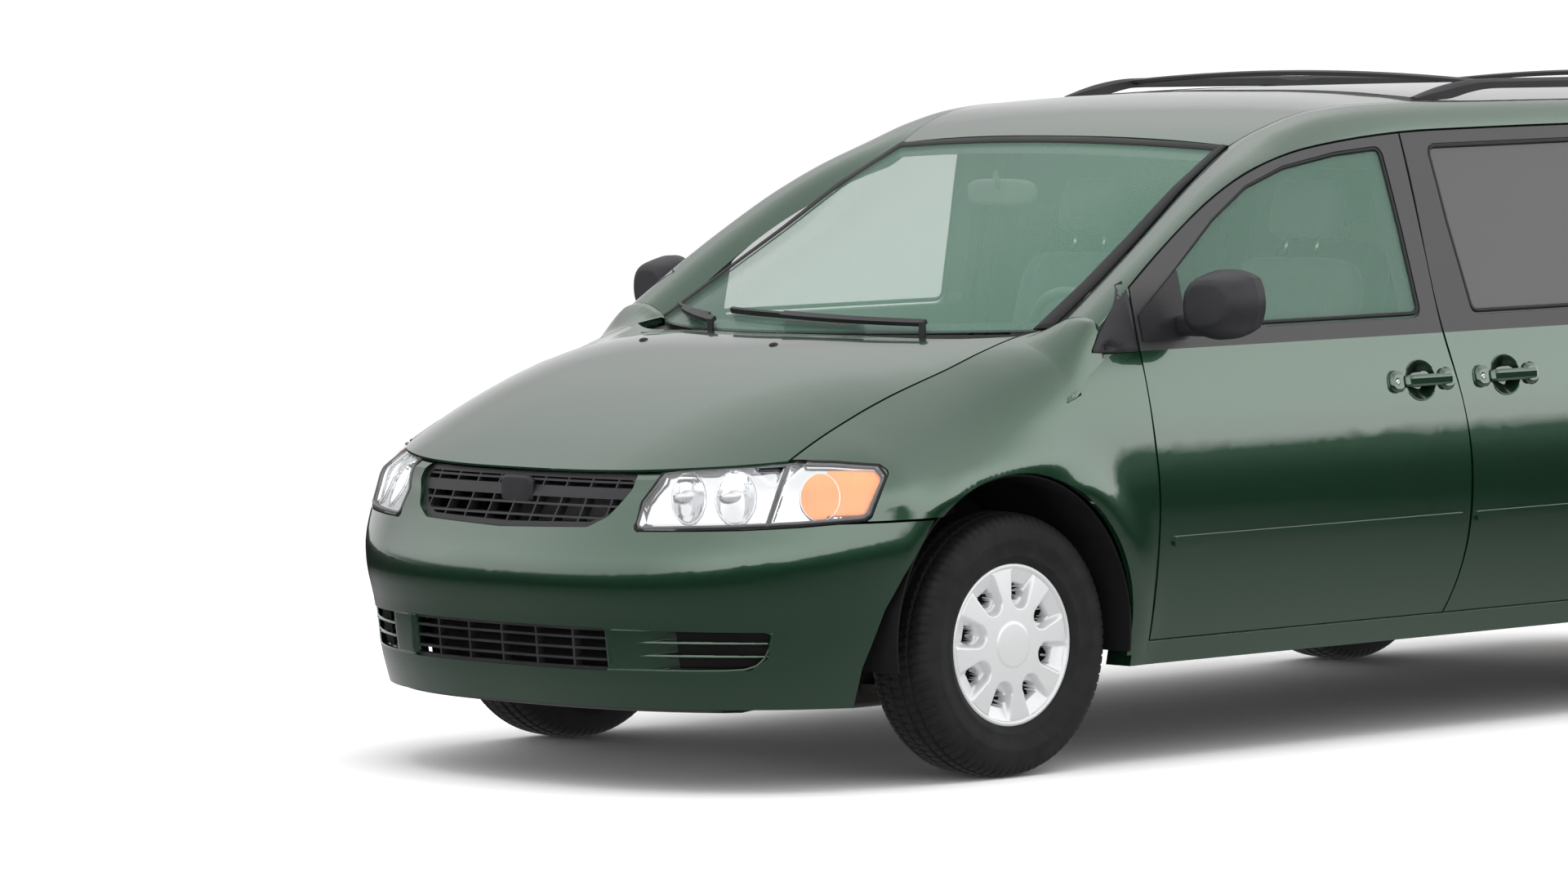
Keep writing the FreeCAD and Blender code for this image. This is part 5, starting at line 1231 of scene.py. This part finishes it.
def pad_form(size, dish):
    """A rounded block, a little smaller than the pad, whose upper side is dished between two bolsters."""
    form = bmesh.new()
    bmesh.ops.create_cube(form, size=2.0)
    bmesh.ops.subdivide_edges(form, edges=form.edges[:], cuts=FORM_CUTS, use_grid_fill=True)
    half = [(s / 2 - SWELL) / 1000 for s in size]
    for vert in form.verts:
        x, y, z = vert.co
        scale = (abs(x) ** 6 + abs(y) ** 6 + abs(z) ** 6) ** (-1 / 6)
        x, y, z = x * scale, y * scale, z * scale
        if z > 0:
            edge = max(0.0, min(1.0, (abs(y) - BOLSTER_START) / BOLSTER_RAMP))
            z *= 1 - dish * (1 - edge * edge * (3 - 2 * edge)) * (1 - 0.5 * abs(x))
        vert.co = (x * half[0], y * half[1], z * half[2])
    mesh = bpy.data.meshes.new("form")
    form.to_mesh(mesh)
    form.free()
    return mesh


def evaluated(things):
    """The meshes of things by name, with their modifiers applied."""
    graph = bpy.context.evaluated_depsgraph_get()
    return {name: bpy.data.meshes.new_from_object(thing.evaluated_get(graph)) for name, thing in things.items()}


def fill(forms):
    """Blows the forms up with one cloth simulation, and lets no point move further than SWELL."""
    starts = {name: [v.co.copy() for v in form.data.vertices] for name, form in forms.items()}
    for form in forms.values():
        cloth = form.modifiers.new("filling", "CLOTH")
        cloth.settings.quality = 4
        cloth.settings.mass = 0.3
        cloth.settings.use_pressure = True
        cloth.settings.uniform_pressure_force = PRESSURE
        cloth.settings.effector_weights.gravity = 0
        cloth.point_cache.frame_start = 1
        cloth.point_cache.frame_end = SIM_FRAMES
    for number in range(1, SIM_FRAMES + 1):
        scene.frame_set(number)
    graph = bpy.context.evaluated_depsgraph_get()
    ends = {name: [v.co.copy() for v in form.evaluated_get(graph).data.vertices] for name, form in forms.items()}
    scene.frame_set(1)
    for name, form in forms.items():
        form.modifiers.clear()
        for vert, start, end in zip(form.data.vertices, starts[name], ends[name]):
            move = end - start
            far = move.length * 1000
            vert.co = start + (move * (SWELL / far) if far > SWELL else move)


def sew(mesh, name):
    """Sewn channels between a pad's middle and its bolsters, or the seam round a head rest."""
    if name == "rest":
        for vert in mesh.vertices:
            vert.co -= vert.normal * (PIPING_DEPTH * math.exp(-(vert.co.z / PIPING_WIDTH) ** 2))
        return
    half_length, half_width = PADS[name][0] / 2000, PADS[name][1] / 2000
    for vert in mesh.vertices:
        x, y, _ = vert.co
        away = [abs(y) - BOLSTER_SEAM * half_width]
        if abs(y) < BOLSTER_SEAM * half_width:
            away += [x - seam * half_length for seam in CROSS_SEAMS]
        if vert.normal.z >= 0.2:
            vert.co.z -= CHANNEL_DEPTH * math.exp(-(min(abs(a) for a in away) / CHANNEL_WIDTH) ** 2)


def pad_meshes():
    forms = {}
    for name, size in PADS.items():
        form = bpy.data.objects.new("form_" + name, pad_form(size, 0.0 if name == "rest" else BOLSTER_DISH))
        scene.collection.objects.link(form)
        grid = form.modifiers.new("grid", "REMESH")
        grid.mode = "VOXEL"
        grid.voxel_size = REST_VOXEL if name == "rest" else VOXEL
        forms[name] = form
    for name, mesh in evaluated(forms).items():
        forms[name].modifiers.clear()
        forms[name].data = mesh
    fill(forms)
    for form in forms.values():
        smooth = form.modifiers.new("smooth", "SUBSURF")
        smooth.levels = smooth.render_levels = 1
    meshes = evaluated(forms)
    for name, mesh in meshes.items():
        sew(mesh, name)
        bpy.data.objects.remove(forms[name])
    return meshes


# Sizes of a seat by its front edge d, in millimetres
RAKE = math.radians(-16)
BACK_FOOT = (-400, 610)
BACK_MIDDLE, REST_MIDDLE = (-0.055, 0.330), (-0.046, 0.760)
CUSHION_MIDDLE = (-201, 625)
PLAIN_WIDTH = 510
POST_HEIGHTS = (0.640, 0.665, 0.690)
POST_X, POST_Y, POST_RADIUS = -0.048, 55, 0.006
PEDESTAL = ((0, -430, -70, 55), (12, -428, -72, 57), (20, -405, -95, 75))
SEAT_PAN = ((520, -412, -70, 72), (552, -425, -40, 40), (566, -425, -36, 36))
FLOOR_Z, REAR_FLOOR_Z = 356.3, 426.3
SEATS = (("front_seats", "front_seat_left", -900, 135, 645, FLOOR_Z),
         ("front_seats", "front_seat_right", -900, -645, -135, FLOOR_Z),
         ("rear_seats", "middle_seat_left", -1850, 150, 640, FLOOR_Z),
         ("rear_seats", "middle_seat_right", -1850, -640, -150, FLOOR_Z),
         ("rear_seats", "bench_left", -2860, 2, 550, REAR_FLOOR_Z),
         ("rear_seats", "bench_right", -2860, -550, -2, REAR_FLOOR_Z))
UPRIGHT = Matrix(((0, 0, 1, 0), (0, -1, 0, 0), (1, 0, 0, 0), (0, 0, 0, 1)))


def pad(name, mesh, matrix, node):
    mesh = mesh.copy()
    mesh.transform(matrix)
    made = bpy.data.objects.new(name, mesh)
    scene.collection.objects.link(made)
    mesh.materials.append(M["seat_fabric"])
    mesh.polygons.foreach_set("use_smooth", [True] * len(mesh.polygons))
    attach(made, BODY[node])
    return made


def block(sections, count=40):
    """A moulded block through sections of (z, d0, d1, y0, y1), with rounded corners."""
    rings = []
    for z, d0, d1, y0, y1 in sections:
        corners = [squarish(2 * math.pi * k / count, 7) for k in range(count)]
        rings.append([at((d0 + d1) / 2 + (d1 - d0) / 2 * u, (y0 + y1) / 2 + (y1 - y0) / 2 * v, z) for u, v in corners])
    return stacked(rings)


def seats():
    meshes = pad_meshes()
    replaced = set()
    for node, label, d, y0, y1, floor in SEATS:
        middle = (y0 + y1) / 2
        wider = Matrix.Diagonal((1, (y1 - y0) / PLAIN_WIDTH, 1, 1))
        base = Matrix.Translation(at(d + BACK_FOOT[0], 0, BACK_FOOT[1])) @ Matrix.Rotation(RAKE, 4, "Y")

        def on_back(place, middle=middle, base=base):
            return base @ Matrix.Translation(Vector((place[0], middle / 1000, place[1]))) @ UPRIGHT

        cushion = pad(label + "_cushion", meshes["cushion"],
                      Matrix.Translation(at(d + CUSHION_MIDDLE[0], middle, CUSHION_MIDDLE[1])) @ wider, node)
        pad(label + "_back", meshes["back"], on_back(BACK_MIDDLE) @ wider, node)
        pad(label + "_head_rest", meshes["rest"], on_back(REST_MIDDLE), node)
        sections = [(floor + z, *rest) for z, *rest in PEDESTAL] + list(SEAT_PAN)
        pedestal = block([(z, d + rear, d + front, y0 + inset, y1 - inset) for z, rear, front, inset in sections])
        piece(label + "_pedestal", pedestal, M["interior"], node, "interior")
        posts = [tube([base @ Vector((POST_X, (middle + aside) / 1000, z)) for z in POST_HEIGHTS], POST_RADIUS)
                 for aside in (-POST_Y, POST_Y)]
        piece(label + "_posts", joined(posts), POST, node, "chassis")
        if node not in replaced:
            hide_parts(node)
            replaced.add(node)


seats()


MIRROR_HALF = (0.014, 0.125, 0.034)
MIRROR_RINGS, MIRROR_COLUMNS = 18, 36


def cabin_mirror():
    """The rear-view mirror on its stalk."""
    centre = at(-826, 0, 1390)
    deep, wide, high = MIRROR_HALF
    corners = [squarish(2 * math.pi * k / MIRROR_COLUMNS, 3.5) for k in range(MIRROR_COLUMNS)]
    rings = []
    for tilt in span(-math.pi / 2, math.pi / 2, MIRROR_RINGS):
        swell = math.copysign(abs(math.sin(tilt)) ** 0.8, tilt)
        size = max(0.02, math.cos(tilt)) ** 0.35
        rings.append([centre + Vector((deep * swell, wide * u * size, high * v * size)) for u, v in corners])
    top = screen_point(0.80, 0)
    stalk = tube([centre + Vector((0.010, 0, 0.01)), centre.lerp(top, 0.5) + Vector((0.006, 0, -0.004)), top], 0.007)
    piece("cabin_mirror", joined([stacked(rings), stalk]), M["interior"], "windshield", "interior")


cabin_mirror()


# Floor and lights

FLOOR_HALF = 60.0
DAYLIGHT, GLOSS_STRENGTH = 1.08, 3.5
LEFT_WALL = [(0.0, 0.01), (0.02, 0.015), (0.045, 0.72), (0.25, 0.66), (0.55, 0.42), (1.0, 0.30)]
FRONT_WALL = [(0.0, 0.01), (0.02, 0.02), (0.05, 0.42), (0.3, 0.48), (0.6, 0.40), (1.0, 0.30)]
FAR_WALL = [(0.0, 0.17), (0.1, 0.17), (0.36, 0.14), (0.55, 0.22), (0.72, 0.32), (1.0, 0.30)]


def white_floor():
    """A white floor, which reflections see growing dark away from the car."""
    mesh = bpy.data.meshes.new("floor")
    mesh.from_pydata([(x * FLOOR_HALF, y * FLOOR_HALF, 0) for x, y in ((-1, -1), (1, -1), (1, 1), (-1, 1))], [],
                     [(0, 1, 2, 3)])
    floor = bpy.data.objects.new("floor", mesh)
    material = shader("floor_white", Base_Color=(0.93, 0.93, 0.93), Roughness=0.9)
    n = Nodes(material)
    reach = n.add("VectorMath", {0: n.place()}, operation="LENGTH").outputs["Value"]
    glow = n.add("Emission", {"Color": n.ramp(n.math("DIVIDE", reach, 10.0), 0.62, 0.015, 0.12, 0.50)})
    shiny = n.add("LightPath").outputs["Is Glossy Ray"]
    both = n.add("MixShader", {0: shiny, 1: n.main.outputs[0], 2: glow.outputs[0]})
    n.tree.links.new(both.outputs[0], n.tree.nodes["Material Output"].inputs["Surface"])
    floor.data.materials.append(material)
    scene.collection.objects.link(floor)


def world_light():
    """Even white light, and for reflections a studio with a bright wall on the car's left."""
    world = bpy.data.worlds.new("world")
    world.use_nodes = True
    n = Nodes(world, "Background")

    def part(name, low, high):
        limits = {"Value": n.axis(name, "Generated"), "From Min": low, "From Max": high}
        return n.add("MapRange", limits).outputs["Result"]

    left, front, far = (n.stops(n.axis("Z", "Generated"), wall) for wall in (LEFT_WALL, FRONT_WALL, FAR_WALL))
    studio = n.blend(part("Y", -0.15, 0.35), n.blend(part("X", 0.0, 0.5), far, front), left)
    glossy = n.add("LightPath").outputs["Is Glossy Ray"]
    n.link(n.blend(glossy, 1.0, studio), "Color")
    n.link(n.math("ADD", n.math("MULTIPLY", glossy, GLOSS_STRENGTH), DAYLIGHT), "Strength")
    scene.world = world


def overhead_light():
    """A soft lamp over the car, unseen in reflections, for the shadow under it."""
    data = bpy.data.lights.new("overhead", "AREA")
    data.shape = "RECTANGLE"
    data.size, data.size_y = 9.0, 6.0
    data.energy = 500
    light = bpy.data.objects.new("overhead", data)
    light.location = (1.0, 1.0, 7.5)
    light.rotation_euler = (Vector((0.5, 0, 0.5)) - light.location).to_track_quat("-Z", "Y").to_euler()
    light.visible_glossy = False
    scene.collection.objects.link(light)


white_floor()
world_light()
overhead_light()
scene.view_settings.view_transform = "Standard"
